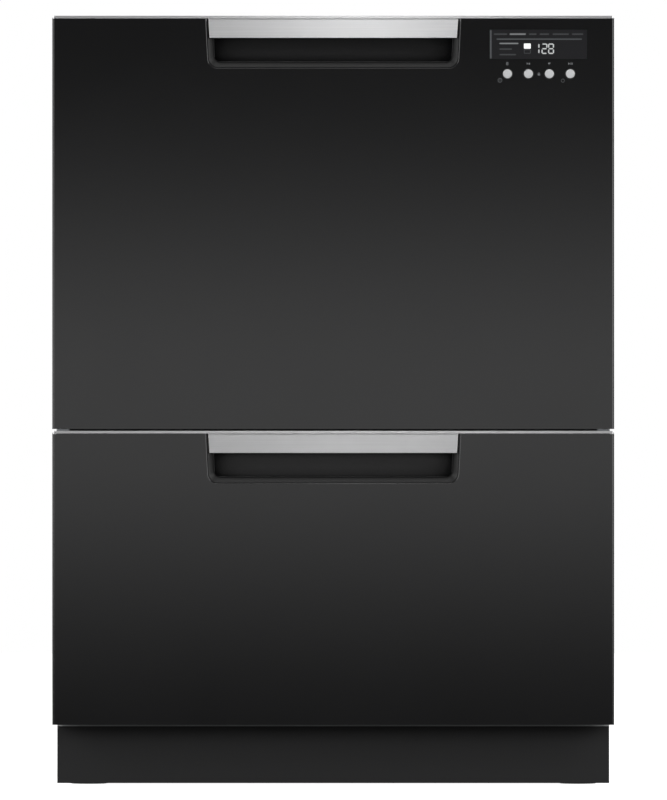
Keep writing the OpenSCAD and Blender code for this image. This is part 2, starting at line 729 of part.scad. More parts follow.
module tub(bay) {
  z = floor_z(bay);
  ear_w = 8;
  color(tub_plastic) difference() {
    union() {
      difference() {
        union() {
          tub_body(0, bay, -0.05);
          translate([0, tub_cy, rim_z(bay) - rim_t])
            slab(tub_w + 2 * rim_w, tub_d + 2 * rim_w, rim_t, tub_corner_r + rim_w);
          translate([0, tub_cy, z - sump_h - tub_wall]) cylinder(r = sump_r + tub_wall, h = sump_h + 2 * tub_wall);
          // Ribs below the floor.
          for (a = [30 : 60 : 330]) translate([0, tub_cy, z - 12]) rotate([0, 0, a])
            translate([sump_r, -1.5, 0]) cube([130, 3, 12]);
        }
        tub_body(tub_wall, bay, over);
        translate([0, tub_cy, z - sump_h]) cylinder(r = sump_r, h = sump_h + over);
        translate([0, tub_cy, z - 0.05]) cylinder(r1 = sump_r, r2 = sump_r + 2, h = 2);
      }
      // Ears for the rod of the cup shelf.
      for (y = [shelf_y[0] - ear_w - move_gap, shelf_y[1] + move_gap]) hull() {
        translate([hinge_x, y, rim_z(bay) - hinge_drop]) rotate([-90, 0, 0]) cylinder(r = 7, h = ear_w);
        block([-tub_half(hinge_drop) + 1, y, rim_z(bay) - hinge_drop - 14],
              [-tub_half(hinge_drop) + 2, y + ear_w, rim_z(bay) - hinge_drop + 8]);
      }
      // Brackets on the runners.
      both_sides() {
        block([tub_half(runner_drop) - 1.5, run_y0 + 20, runner_z(bay) - 1.5],
              [run_x0 - 0.1, tub_y1 - 30, runner_z(bay) + 1.5]);
        block([run_x0 - 3, run_y0 + 2, runner_z(bay) - 11], [run_x0 - 0.1, run_y0 + runner_len - 4, runner_z(bay) + 11]);
        for (y = [run_y0 + 60 : 80 : tub_y1 - 60])
          block([tub_half(runner_drop) - 1.5, y, runner_z(bay) - 10], [run_x0 - 1, y + 2.5, runner_z(bay) + 10]);
      }
      // Bosses for the front.
      for (x = [-boss_x, 0, boss_x], drop = [75, 200])
        translate([x, y_front_back + seat, rim_z(bay) - drop]) rotate([-90, 0, 0])
          cylinder(r = 8, h = tub_y0 + tub_lean * drop / tub_h + 1.5 - y_front_back - seat);
    }
    translate([hinge_x, tub_y0 + 20, rim_z(bay) - hinge_drop]) rotate([-90, 0, 0])
      cylinder(r = hinge_r + run, h = tub_d - 40);
    for (x = [-boss_x, 0, boss_x], drop = [75, 200])
      translate([x, y_front_back - over, rim_z(bay) - drop]) rotate([-90, 0, 0]) cylinder(r = 1.8, h = 16);
    // Drive shaft of the pump.
    translate([0, tub_cy, z - sump_h - tub_wall - over]) cylinder(r = 5, h = tub_wall + 2 * over);
  }
}

// ---- lid, which a rack and pinion on each side lifts and lowers ----

lid_w = tub_w + 20;
lid_d = tub_d + 12;
lid_side = lid_w / 2;
lid_rest = 0.3;
seal_groove = 4;
function seal_z(bay) = rim_z(bay) + lid_lift + lid_rest;
function lid_z(bay) = seal_z(bay) + seal_h - seal_groove;
pitch_r = gear_module * pinion_teeth / 2;
gear_add = 0.9 * gear_module;
gear_ded = 1.15 * gear_module;
gear_play = 0.1;
tooth_w = PI * gear_module / 2 - gear_play;
pinion_y = tub_cy + 2;
function pinion_z(bay) = lid_z(bay) + 9;

function inv_angle(a) = tan(a) * 180 / PI - a;
// Half the angle of a tooth at radius r, on an involute of 20 degrees.
function tooth_angle(r) =
  tooth_w / (2 * pitch_r) * 180 / PI + inv_angle(20)
  - inv_angle(acos(min(1, pitch_r * cos(20) / r)));

function gear_points() =
  let (rb = pitch_r * cos(20), tip = pitch_r + gear_add,
       rs = [for (k = [0 : 4]) rb + (tip - rb) * k / 4])
  [for (t = [0 : pinion_teeth - 1])
    let (c = 360 * t / pinion_teeth)
    each concat(
      [[(pitch_r - gear_ded) * cos(c - tooth_angle(rb)), (pitch_r - gear_ded) * sin(c - tooth_angle(rb))]],
      [for (r = rs) [r * cos(c - tooth_angle(r)), r * sin(c - tooth_angle(r))]],
      [for (k = [4 : -1 : 0]) [rs[k] * cos(c + tooth_angle(rs[k])), rs[k] * sin(c + tooth_angle(rs[k]))]],
      [[(pitch_r - gear_ded) * cos(c + tooth_angle(rb)), (pitch_r - gear_ded) * sin(c + tooth_angle(rb))]])];

// Rack profile in y and z, with the pinion at the origin and a tooth space on its level.
function rack_points(z0, z1, back) =
  let (pitch = PI * gear_module, root = pitch_r + gear_ded, tip = pitch_r - gear_add,
       at_tip = tooth_w / 2 - gear_add * tan(20), at_root = tooth_w / 2 + gear_ded * tan(20))
  concat([[back, z0], [back, z1], [root, z1]],
    [for (k = [floor((z1 - 2 * at_root) / pitch - 0.5) : -1 : ceil((z0 + 2 * at_root) / pitch - 0.5)])
      let (z = (k + 0.5) * pitch)
      each [[root, z + at_root], [tip, z + at_tip], [tip, z - at_tip], [root, z - at_root]]],
    [[root, z0]]);

module lid(bay) {
  z = lid_z(bay);
  shell = 2.2;
  color(tub_plastic) {
    difference() {
      union() {
        translate([0, tub_cy, z]) slab(lid_w, lid_d, lid_h, tub_corner_r + 8);
        both_sides() translate([0, pinion_y, pinion_z(bay)])
          along_x(lid_side - 1, 7) polygon(rack_points(-9, lid_lift + 6, pitch_r + 8));
      }
      difference() {
        translate([0, tub_cy, z + 3]) slab(lid_w - 2 * shell, lid_d - 2 * shell, lid_h, tub_corner_r + 6);
        for (x = [for (i = [-3 : 3]) i * (lid_w / 2 - 70) / 3]) block([x - 1, tub_y0 - 20, z], [x + 1, tub_y1 + 20, z + 14]);
        for (y = [for (i = [-2.5 : 1 : 2.5]) tub_cy + i * (lid_d / 2 - 71) / 2.5]) block([-lid_w, y - 1, z], [lid_w, y + 1, z + 14]);
      }
      // Groove for the seal.
      translate([0, tub_cy, z - over])
        ring(tub_w + 7, tub_d + 7, seal_groove + over - 1.5, tub_corner_r + 3, 4);
    }
  }
}

// A rubber ring with two lips.
module lid_seal(bay) {
  z = seal_z(bay);
  body = seal_h - seal_groove;
  color(seal_rubber) translate([0, tub_cy, z]) difference() {
    union() {
      ring(tub_w + 10, tub_d + 10, body - 0.1, tub_corner_r + 4.5, seal_w);
      ring(tub_w + 6.8, tub_d + 6.8, body + seal_groove - 1.8, tub_corner_r + 2.9, 3.6);
    }
    translate([0, 0, -over]) ring(tub_w + 6, tub_d + 6, over + 2.5, tub_corner_r + 2.5, seal_w - 4);
  }
}

module lid_pinions(bay) {
  color(grey_plastic) both_sides() translate([0, pinion_y, pinion_z(bay)]) difference() {
    along_x(lid_side + 1, 5) polygon(gear_points());
    along_x(lid_side - over, 10) circle(r = hinge_r + run);
  }
}

// Geared motors on the side panels, with the shafts of the pinions.
module lid_actuators() {
  for (bay = [LOWER, UPPER]) both_sides() translate([0, pinion_y, pinion_z(bay)]) {
    color(grey_plastic) difference() {
      union() {
        block([lid_side + 7.5, -17, -22], [run_x1, 17, 9.5]);
        translate([lid_side + 7.5 + 11, 0, 0]) rotate([90, 0, 0]) cylinder(r = 7, h = 62);
        bar([lid_side + 0.6, 0, 0], [lid_side + 9, 0, 0], hinge_r);
      }
      for (z = [-18, 5.5]) translate([0, 13, z]) rotate([0, 90, 0]) cylinder(r = 1.8, h = cabinet_w);
    }
  }
}

// ---- wash system ----

spindle_r = 8;
sump_gap = 0.3;

module pump_motor(bay) {
  z = floor_z(bay) - sump_h - tub_wall - seat;
  color(grey_plastic) translate([0, tub_cy, z]) difference() {
    union() {
      translate([0, 0, -4]) cylinder(r = 62, h = 4);
      translate([0, 0, -33]) cylinder(r = 46, h = 30);
      for (a = [0 : 45 : 315]) rotate([0, 0, a]) translate([44, -1.5, -26]) cube([10, 3, 23]);
      translate([-58, 8, -24]) rotate([0, 0, 0]) cube([30, 40, 16]);
    }
    translate([0, 0, -28]) cylinder(r = 4, h = 30);
    for (a = [0 : 90 : 270]) rotate([0, 0, a]) translate([55, 0, -over - 4]) cylinder(r = 2.2, h = 8);
  }
}

// Impeller in the sump, with its shaft down into the motor.
module pump_rotor(bay) {
  z = floor_z(bay) - sump_h;
  color(grey_plastic) translate([0, tub_cy, z]) {
    difference() {
      union() {
        translate([0, 0, 1]) cylinder(r = 26, h = 2);
        translate([0, 0, 1]) cylinder(r = 8, h = 10);
        for (a = [0 : 60 : 300]) rotate([0, 0, a]) translate([6, -1, 2]) rotate([0, 0, 14]) cube([18, 2, 8]);
      }
      translate([0, 0, 9]) cylinder(r = 3, h = 5);
    }
    translate([0, 0, -28]) cylinder(r = 4 - run, h = 29.5);
  }
}

// Filter plate over the sump, with the cup of the drain filter and the spindle of the arm.
module filter(bay) {
  plate_r = sump_r + 20;
  color(grey_plastic) translate([0, tub_cy, floor_z(bay) + 0.2]) difference() {
    union() {
      cylinder(r1 = plate_r, r2 = plate_r - 2, h = 3);
      translate([0, 0, -8]) cylinder(r = 30, h = 9);
      cylinder(r = spindle_r + 3, h = 5);
      cylinder(r = spindle_r - run, h = 23);
    }
    translate([0, 0, -8 - over]) cylinder(r = 27.5, h = 9);
    for (row = [0 : 2], a = [0 : 22.5 : 337.5])
      rotate([0, 0, a + 11.25 * row]) translate([42 + 15 * row, 0, -over]) cylinder(r = 3, h = 6);
    translate([0, 0, -10]) cylinder(r = 4, h = 40);
  }
}

spray_len = tub_d - 2 * (tub_lean + tub_wall + spray_gap);
jet_pitch = (spray_len / 2 - 42) / 5;

module spray_arm(bay) {
  z = floor_z(bay) + 6;
  tip = spray_len / 2 - 13;
  color(grey_plastic) translate([0, tub_cy, z]) difference() {
    union() {
      hull() {
        translate([0, 0, 3]) cylinder(r = 24, h = 8);
        for (x = [-tip, tip]) translate([x, 0, 4]) cylinder(r = 13, h = 6);
      }
      cylinder(r = spindle_r + 6, h = 20);
      for (i = [-5 : 5]) if (abs(i) > 0) translate([i * jet_pitch - 7, -3, 9]) cube([14, 6, 3.5]);
    }
    translate([0, 0, -over]) cylinder(r = spindle_r, h = 18 + over);
    for (i = [-5 : 5]) if (abs(i) > 0) translate([i * jet_pitch - 4, -1, 8]) cube([8, 2, 6]);
  }
}

// ---- what holds the dishes ----

// The rack is bent from wires. Wires that cross lie on one another, weld_gap apart.
weld_gap = 0.05;
lay = 2 * wire_r + weld_gap;
rack_x = tub_w / 2 - 26;
rack_y0 = tub_y0 + 18;
rack_y1 = tub_y1 - 18;
bend_r = 30;
wire_pitch = (rack_x - 32) / 5;
wire_xs = [for (i = [-5 : 5]) i * wire_pitch];
wire_ys = [for (i = [0 : 7]) rack_y0 + bend_r + 4 + i * (rack_y1 - rack_y0 - 2 * bend_r - 8) / 7];
tine_xs = [for (i = [-4, -2, 0, 2]) i * wire_pitch];

module bend(x, y, a, r) {
  translate([x, y, 0]) rotate([0, 0, a]) rotate_extrude(angle = 90) translate([r, 0]) circle(r = wire_r);
}

// A closed loop of wire with round corners.
module wire_loop(x, y0, y1, r) {
  e = weld_gap;
  for (s = [-1, 1]) bar([s * x, y0 + r + e, 0], [s * x, y1 - r - e, 0], wire_r);
  for (y = [y0, y1]) bar([-x + r + e, y, 0], [x - r - e, y, 0], wire_r);
  bend(x - r, y1 - r, 0, r);
  bend(-x + r, y1 - r, 90, r);
  bend(-x + r, y0 + r, 180, r);
  bend(x - r, y0 + r, 270, r);
}

module dish_rack(bay) {
  low = wire_r + weld_gap;
  color(nylon_wire) translate([0, 0, floor_z(bay) + rack_lift]) {
    translate([0, 0, rail_h]) wire_loop(rack_x + lay, rack_y0 - lay, rack_y1 + lay, bend_r + lay);
    translate([0, 0, rail_h / 2]) wire_loop(rack_x + lay, rack_y0 - lay, rack_y1 + lay, bend_r + lay);
    for (x = wire_xs) {
      bar([x, rack_y0 - wire_r, 0], [x, rack_y1 + wire_r, 0], wire_r);
      for (y = [rack_y0, rack_y1]) bar([x, y, low], [x, y, rail_h + wire_r], wire_r);
    }
    for (y = wire_ys) {
      bar([-rack_x - wire_r, y, -lay], [rack_x + wire_r, y, -lay], wire_r);
      for (x = [-rack_x, rack_x]) bar([x, y, low - lay], [x, y, rail_h + wire_r], wire_r);
    }
    for (x = tine_xs, i = [0 : 11]) {
      y = wire_ys[0] + 6 + i * (wire_ys[7] - wire_ys[0] - 12) / 11;
      bar([x, y, low], [x, y, tine_h], wire_r);
    }
    for (x = [22 - rack_x, rack_x - 22], y = [wire_ys[0], wire_ys[7]])
      bar([x, y, -rack_lift + 0.1], [x, y, -lay - low], wire_r + 1);
  }
}

// A slotted shelf on a rod, folded up against the wall when tall pieces are washed.
module cup_shelf(bay) {
  y0 = shelf_y[0];
  y1 = shelf_y[1];
  color(grey_plastic) translate([hinge_x, 0, rim_z(bay) - hinge_drop]) difference() {
    union() {
      bar([0, y0 - 8, 0], [0, y1 + 8, 0], hinge_r);
      block([0, y0, -1.5], [cup_shelf_w, y1, 1.5]);
      block([cup_shelf_w - 3, y0, -1.5], [cup_shelf_w, y1, 5]);
      for (y = [y0, (y0 + y1) / 2 - 1.5, y1 - 3]) block([0, y, -5], [cup_shelf_w, y + 3, 1.5]);
    }
    for (i = [0 : 11]) if (i != 6)
      block([10, y0 + 10 + i * (y1 - y0 - 20) / 12 + 3, -over - 2], [cup_shelf_w - 9, y0 + 10 + (i + 1) * (y1 - y0 - 20) / 12 - 5, 3]);
  }
}

basket_at = [rack_x - 76, tub_y0 + 50];
basket_size = [72, 216, 108];
basket_split = 3;

module cutlery_basket(bay) {
  z = floor_z(bay) + rack_lift + wire_r + 0.2;
  size = basket_size;
  cell = (size[1] - wall_t) / basket_split;
  color(grey_plastic) translate([basket_at[0], basket_at[1], z]) difference() {
    union() {
      cube(size);
      translate([-2, -2, size[2] - 8]) cube([size[0] + 4, size[1] + 4, 5]);
      difference() {
        translate([size[0] / 2 - 5, -2, size[2] - 8]) cube([10, size[1] + 4, 34]);
        translate([size[0] / 2 - 6, 8, size[2] - 9]) cube([12, size[1] - 16, 29]);
      }
    }
    for (i = [0 : basket_split - 1]) translate([wall_t, wall_t + i * cell, wall_t])
      cube([size[0] - 2 * wall_t, cell - wall_t, size[2] - wall_t + (i >= 0 ? 0.01 : 0)]);
    for (i = [0 : basket_split - 1], k = [0 : 3], row = [0, 1])
      translate([-3, wall_t + i * cell + 7 + k * 15, 10 + row * 46]) cube([size[0] + 6, 9, 38]);
    for (x = [10, 30.5, 51], row = [0, 1])
      translate([x, -3, 10 + row * 46]) cube([11, size[1] + 6, 38]);
    for (i = [0 : basket_split - 1], k = [0 : 3], x = [9, 28, 47])
      translate([x, wall_t + i * cell + 7 + k * 15, -over]) cube([14, 9, 5]);
  }
}

// ---- detergent dispenser in the front wall of the tub ----

disp_y0 = tub_y0 + tub_wall + tub_lean * 80 / tub_h + 0.2;
disp_d = 15;
disp_half = 60;
flap_x = [-52, 10];
flap_drop = [33, 72];
flap_pin = 1.5;
cap_x = 36;
cap_drop = 50;

module dispenser(bay) {
  z = rim_z(bay);
  y1 = disp_y0 + disp_d;
  color(grey_plastic) difference() {
    union() {
      block([-disp_half, disp_y0, z - 80], [disp_half, y1, z - 22]);
      for (x = [flap_x[0] - 5, flap_x[1] + 0.3])
        block([x, y1 - 1, z - flap_drop[1] - 6], [x + 4.7, y1 + 5, z - flap_drop[1] + 2]);
    }
    block([flap_x[0] + 5, disp_y0 + wall_t, z - flap_drop[1] + 4], [flap_x[1] - 5, y1 + over, z - flap_drop[0] - 4]);
    translate([0, y1 + 2.4, z - flap_drop[1] - 2]) rotate([0, 90, 0]) translate([0, 0, -disp_half])
      cylinder(r = flap_pin + run, h = 2 * disp_half);
    translate([cap_x, disp_y0 + wall_t, z - cap_drop]) rotate([-90, 0, 0]) cylinder(r = 8, h = disp_d);
  }
}

module dispenser_door(bay) {
  z = rim_z(bay);
  y1 = disp_y0 + disp_d;
  color(tub_plastic) union() {
    block([flap_x[0] + 0.5, y1 + 0.4, z - flap_drop[1] - 0.5], [flap_x[1] - 0.5, y1 + 3, z - flap_drop[0]]);
    bar([flap_x[0] - 4.5, y1 + 2.4, z - flap_drop[1] - 2], [flap_x[1] + 4.5, y1 + 2.4, z - flap_drop[1] - 2], flap_pin);
    block([flap_x[0] + 0.5, y1 + 1, z - flap_drop[1] - 2], [flap_x[1] - 0.5, y1 + 3.5, z - flap_drop[1] + 1]);
    block([-28, y1 + 2, z - flap_drop[0] - 7], [-14, y1 + 5, z - flap_drop[0] - 4]);
  }
}

module rinse_cap(bay) {
  y1 = disp_y0 + disp_d;
  color(tub_plastic) translate([cap_x, y1 + 0.3, rim_z(bay) - cap_drop]) rotate([-90, 0, 0]) {
    cylinder(r1 = 15, r2 = 14, h = 3);
    translate([0, 0, -10]) cylinder(r = 8 - run, h = 11);
    translate([-12, -2, 2]) cube([24, 4, 5]);
  }
}

// ---- the nodes ----

module upper_front_skin() { front_skin(UPPER); }
module upper_handle_trim() { handle_trim(UPPER); }
module upper_handle_pocket() { handle_pocket(UPPER); }
module upper_front_carrier() { front_carrier(UPPER); }
module upper_tub() { tub(UPPER); }
module upper_inner_runners() { inner_runners(UPPER); }
module upper_middle_runners() { middle_runners(UPPER); }
module upper_lid() { lid(UPPER); }
module upper_lid_seal() { lid_seal(UPPER); }
module upper_lid_pinions() { lid_pinions(UPPER); }
module upper_spray_arm() { spray_arm(UPPER); }
module upper_filter() { filter(UPPER); }
module upper_pump_rotor() { pump_rotor(UPPER); }
module upper_pump_motor() { pump_motor(UPPER); }
module upper_dish_rack() { dish_rack(UPPER); }
module upper_cup_shelf() { cup_shelf(UPPER); }
module upper_cutlery_basket() { cutlery_basket(UPPER); }
module upper_dispenser() { dispenser(UPPER); }
module upper_dispenser_door() { dispenser_door(UPPER); }
module upper_rinse_cap() { rinse_cap(UPPER); }
module lower_front_skin() { front_skin(LOWER); }
module lower_handle_trim() { handle_trim(LOWER); }
module lower_handle_pocket() { handle_pocket(LOWER); }
module lower_front_carrier() { front_carrier(LOWER); }
module lower_tub() { tub(LOWER); }
module lower_inner_runners() { inner_runners(LOWER); }
module lower_middle_runners() { middle_runners(LOWER); }
module lower_lid() { lid(LOWER); }
module lower_lid_seal() { lid_seal(LOWER); }
module lower_lid_pinions() { lid_pinions(LOWER); }
module lower_spray_arm() { spray_arm(LOWER); }
module lower_filter() { filter(LOWER); }
module lower_pump_rotor() { pump_rotor(LOWER); }
module lower_pump_motor() { pump_motor(LOWER); }
module lower_dish_rack() { dish_rack(LOWER); }
module lower_cup_shelf() { cup_shelf(LOWER); }
module lower_cutlery_basket() { cutlery_basket(LOWER); }
module lower_dispenser() { dispenser(LOWER); }
module lower_dispenser_door() { dispenser_door(LOWER); }
module lower_rinse_cap() { rinse_cap(LOWER); }

left_side_panel();
right_side_panel();
back_panel();
top_panel();
base_pan();
mid_rail();
kick_strip();
fixed_runners();
lid_actuators();
hose_connections();
front_left_foot();
front_right_foot();
rear_left_foot();
rear_right_foot();
display_window();
control_board();
button_1();
button_2();
button_3();
button_4();
upper_front_skin();
upper_handle_trim();
upper_handle_pocket();
upper_front_carrier();
upper_tub();
upper_inner_runners();
upper_middle_runners();
upper_lid();
upper_lid_seal();
upper_lid_pinions();
upper_spray_arm();
upper_filter();
upper_pump_rotor();
upper_pump_motor();
upper_dish_rack();
upper_cup_shelf();
upper_cutlery_basket();
upper_dispenser();
upper_dispenser_door();
upper_rinse_cap();
lower_front_skin();
lower_handle_trim();
lower_handle_pocket();
lower_front_carrier();
lower_tub();
lower_inner_runners();
lower_middle_runners();
lower_lid();
lower_lid_seal();
lower_lid_pinions();
lower_spray_arm();
lower_filter();
lower_pump_rotor();
lower_pump_motor();
lower_dish_rack();
lower_cup_shelf();
lower_cutlery_basket();
lower_dispenser();
lower_dispenser_door();
lower_rinse_cap();
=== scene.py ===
# %% [markdown]
# # A two-drawer dishwasher, dressed for a product picture
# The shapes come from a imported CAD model. This lesson adds what CAD doesn't hold: finishes,
# the marks on the display, bent rack wires, screws, light and a camera.
#
# The CAD pieces stay where they are. Loading them first gives every later step real sizes.
# What each piece is made of is judged from one photograph, and where that shows nothing, from
# how such appliances are usually made.

# %% Load the model
import json
import math

import bmesh
import bpy
from mathutils import Matrix, Vector


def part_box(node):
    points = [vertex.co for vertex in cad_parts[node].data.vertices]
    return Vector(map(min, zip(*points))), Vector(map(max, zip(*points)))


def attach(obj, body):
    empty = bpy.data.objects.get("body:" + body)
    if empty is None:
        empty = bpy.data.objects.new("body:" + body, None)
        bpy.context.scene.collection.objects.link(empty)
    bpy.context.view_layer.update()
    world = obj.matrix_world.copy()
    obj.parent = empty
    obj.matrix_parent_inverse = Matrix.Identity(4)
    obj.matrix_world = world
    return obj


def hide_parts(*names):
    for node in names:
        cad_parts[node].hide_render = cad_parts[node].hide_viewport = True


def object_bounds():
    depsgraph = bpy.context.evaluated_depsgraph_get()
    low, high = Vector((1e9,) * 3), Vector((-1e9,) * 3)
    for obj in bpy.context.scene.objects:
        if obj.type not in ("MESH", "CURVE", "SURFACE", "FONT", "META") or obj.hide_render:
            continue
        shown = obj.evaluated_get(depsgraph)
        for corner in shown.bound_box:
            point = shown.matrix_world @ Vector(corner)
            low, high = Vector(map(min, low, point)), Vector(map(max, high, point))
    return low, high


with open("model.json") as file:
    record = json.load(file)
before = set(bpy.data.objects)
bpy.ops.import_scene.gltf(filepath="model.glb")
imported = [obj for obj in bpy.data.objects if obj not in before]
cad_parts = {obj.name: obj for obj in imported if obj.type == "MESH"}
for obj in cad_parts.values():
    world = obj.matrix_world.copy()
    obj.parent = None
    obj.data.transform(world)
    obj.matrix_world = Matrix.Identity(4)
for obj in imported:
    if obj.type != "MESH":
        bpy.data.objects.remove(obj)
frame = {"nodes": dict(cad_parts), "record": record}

nodes = frame["nodes"]
cad_low, cad_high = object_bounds()
MM = 0.001
BAYS = {"upper": "upper_drawer", "lower": "lower_drawer"}
print("CAD pieces:", len(nodes), "size in mm:", [round(1000 * s) for s in cad_high - cad_low])

# %% [markdown]
# ## Colours and nodes
# A designer picks colours as sRGB hex values, but a renderer adds light, which needs linear
# values. One function does the change, so each colour below can be compared with a swatch.
# A second function adds a shader node with its settings and its links in one line.

# %% Colour and node helpers
def linear(hex_colour):
    parts = [int(hex_colour[i:i + 2], 16) / 255 for i in (1, 3, 5)]
    return [p / 12.92 if p <= 0.04045 else ((p + 0.055) / 1.055) ** 2.4 for p in parts] + [1.0]


def add(tree, kind, links=(), **values):
    """Adds a node. values sets attributes and sockets; links is (input, node, output) triples."""
    node = tree.nodes.new(kind)
    for name, value in values.items():
        if hasattr(node, name):
            setattr(node, name, value)
        else:
            node.inputs[name.replace("_", " ")].default_value = value
    for to, source, out in links:
        tree.links.new(source.outputs[out], node.inputs[to])
    return node


def finish_named(name, colour, **values):
    """A new material with its Principled BSDF, and a node that gives the place on the object."""
    material = bpy.data.materials.new(name)
    material.use_nodes = True
    tree = material.node_tree
    surface = tree.nodes["Principled BSDF"]
    surface.inputs["Base Color"].default_value = linear(colour)
    for key, value in values.items():
        surface.inputs[key.replace("_", " ")].default_value = value
    place = add(tree, "ShaderNodeTexCoord")
    return material, tree, surface, place


def per_metre(size_mm):
    """Texture scale at which one feature is size_mm wide; the coordinates are in metres."""
    return 1000.0 / size_mm


print("grey of 50 % sRGB in linear light:", round(linear("#808080")[0], 3))

# %% [markdown]
# ## The camera
# The photograph is square on, and its vertical edges are parallel, as a long lens far away
# gives. Twelve metres is far enough that the depth of a handle hardly shows. A frame 800 pixels
# tall shows 852 mm at the plane of the fronts, which sets the focal length.

# %% Camera
PHOTO_HIGH, MM_PER_PIXEL = 800, 1.0646
FRAME_MM = PHOTO_HIGH * MM_PER_PIXEL
DISTANCE = 12.0
SENSOR_MM = 36.0
AIM_X, AIM_Z = 0.0003, 0.4109
lens_data = bpy.data.cameras.new("camera")
lens_data.sensor_width = SENSOR_MM
# The frame is taller than wide, so the sensor's longer side spans its 800 pixels.
lens_data.sensor_fit = "AUTO"
lens_data.lens = SENSOR_MM * DISTANCE / (FRAME_MM * MM)
camera = bpy.data.objects.new("camera", lens_data)
bpy.context.scene.collection.objects.link(camera)
bpy.context.scene.camera = camera
camera.location = (AIM_X, cad_low.y - DISTANCE, AIM_Z)
camera.rotation_euler = (math.radians(90), 0, 0)
print("focal length in mm:", round(lens_data.lens, 1))

# %% [markdown]
# ## Floor and background
# The background of the photograph is white. More light would bleach the object, so the floor
# and the world turn white only where the camera sees them, which the Light Path node tells.
# For everything else, reflections among it, the floor is pale beside and behind the object and
# dark in front of it, and the world is a pale room whose wall behind the camera is dark. A
# photographer lays and hangs black cloth there in the same way, so that a glossy black front
# stays black.

# %% Floor and world
bpy.context.scene.view_settings.view_transform = "Standard"


def make_floor():
    mesh = bpy.data.meshes.new("floor")
    shape = bmesh.new()
    bmesh.ops.create_grid(shape, x_segments=8, y_segments=8, size=6.0)
    shape.to_mesh(mesh)
    shape.free()
    floor = bpy.data.objects.new("floor", mesh)
    bpy.context.scene.collection.objects.link(floor)
    material = bpy.data.materials.new("pale_floor")
    material.use_nodes = True
    tree = material.node_tree
    tree.nodes.remove(tree.nodes["Principled BSDF"])
    path = add(tree, "ShaderNodeLightPath")
    place = add(tree, "ShaderNodeTexCoord")
    along = add(tree, "ShaderNodeSeparateXYZ", [("Vector", place, "Object")])
    cloth = add(tree, "ShaderNodeMapRange", [("Value", along, "Y")], From_Min=-0.28, From_Max=0.3)
    shade = add(tree, "ShaderNodeValToRGB", [("Fac", cloth, 0)])
    shade.color_ramp.elements[0].color = linear("#585858")
    shade.color_ramp.elements[1].color = linear("#c4c4c4")
    grey = add(tree, "ShaderNodeBsdfDiffuse", [("Color", shade, 0)])
    pale = add(tree, "ShaderNodeBsdfDiffuse", Color=linear("#b4b4b4"))
    glow = add(tree, "ShaderNodeEmission", Color=linear("#ffffff"), Strength=0.93)
    white = add(tree, "ShaderNodeAddShader", links=[(0, pale, 0), (1, glow, 0)])
    seen = add(tree, "ShaderNodeMixShader", links=[(0, path, "Is Camera Ray"), (1, grey, 0), (2, white, 0)])
    tree.links.new(seen.outputs[0], tree.nodes["Material Output"].inputs["Surface"])
    mesh.materials.append(material)
    return floor


floor = make_floor()
world = bpy.data.worlds.new("studio")
bpy.context.scene.world = world
world.use_nodes = True
sky = world.node_tree
sky.nodes.clear()
path = add(sky, "ShaderNodeLightPath")
direction = add(sky, "ShaderNodeTexCoord")
along = add(sky, "ShaderNodeSeparateXYZ", [("Vector", direction, "Generated")])
wall = add(sky, "ShaderNodeMapRange", [("Value", along, "Y")],
           From_Min=-0.85, From_Max=-0.2, To_Min=0.11, To_Max=0.6)
room = add(sky, "ShaderNodeBackground", [("Strength", wall, 0)], Color=linear("#ffffff"))
white = add(sky, "ShaderNodeBackground", Color=linear("#ffffff"), Strength=1.0)
both = add(sky, "ShaderNodeMixShader", links=[(0, path, "Is Camera Ray"), (1, room, 0), (2, white, 0)])
add(sky, "ShaderNodeOutputWorld", links=[("Surface", both, 0)])
print("floor is", floor.dimensions.x, "m wide")

# %% [markdown]
# ## Lamps
# A black coated front shows little but the reflection of its lamps. The photograph has one soft
# bright band across the gap between the fronts, fading up and down: a long soft box at the
# height of the camera, out of its sight. A tall narrow box higher up gives the brushed bars
# their bright middle. Wide boxes above, behind and at the sides light the rest.
# The power of an area lamp is its brightness times pi times its area.

# %% Lamps
def soft_box(name, place, aim, width, height, brightness):
    lamp = bpy.data.lights.new(name, "AREA")
    lamp.shape = "RECTANGLE"
    lamp.size, lamp.size_y = width, height
    lamp.energy = brightness * math.pi * width * height
    item = bpy.data.objects.new(name, lamp)
    bpy.context.scene.collection.objects.link(item)
    item.location = place
    item.rotation_euler = (Vector(aim) - Vector(place)).to_track_quat("-Z", "Y").to_euler()
    item.visible_camera = False
    return item


middle = (0, 0, 0.41)
# The band is five boxes in one another, so that it fades towards its edges as silk over a lamp does.
# Each has its height in metres and its brightness.
BAND = ((0.19, 0.24), (0.31, 0.25), (0.41, 0.25), (0.54, 0.22), (0.67, 0.18))
BAND_Y, BAND_Z, BAND_LONG = -1.45, 0.415, 3.0
lamps = [soft_box("band_box_%d" % i, (0, BAND_Y - 0.01 * i, BAND_Z), (0, 0, BAND_Z), BAND_LONG, height, share)
         for i, (height, share) in enumerate(BAND)]
lamps += [
    soft_box("bar_box", (0.04, -1.5, 1.6), (0.02, 0, 0.6), 0.12, 0.85, 8.4),
    soft_box("top_box", (0, -0.4, 2.6), middle, 2.4, 2.0, 1.5),
    soft_box("left_box", (-2.4, -1.9, 1.2), middle, 1.6, 2.2, 3.6),
    soft_box("right_box", (2.4, -1.9, 1.2), middle, 1.6, 2.2, 3.8),
    soft_box("back_box", (0.6, 3.0, 1.6), middle, 2.6, 1.8, 1.5),
]
print("lamps:", [lamp.name for lamp in lamps])

# %% [markdown]
# ## Black coated steel
# The fronts are cold-rolled sheet with a baked, glossy black coating. Such a coating is smooth
# but not a mirror: it has a faint orange peel about 2 mm wide, so its reflections have soft
# edges. The peel is drawn as a bump, and the gloss drifts a little over the sheet. The kick
# strip shows its own dark grey and no lamp, as a matt powder coat does.

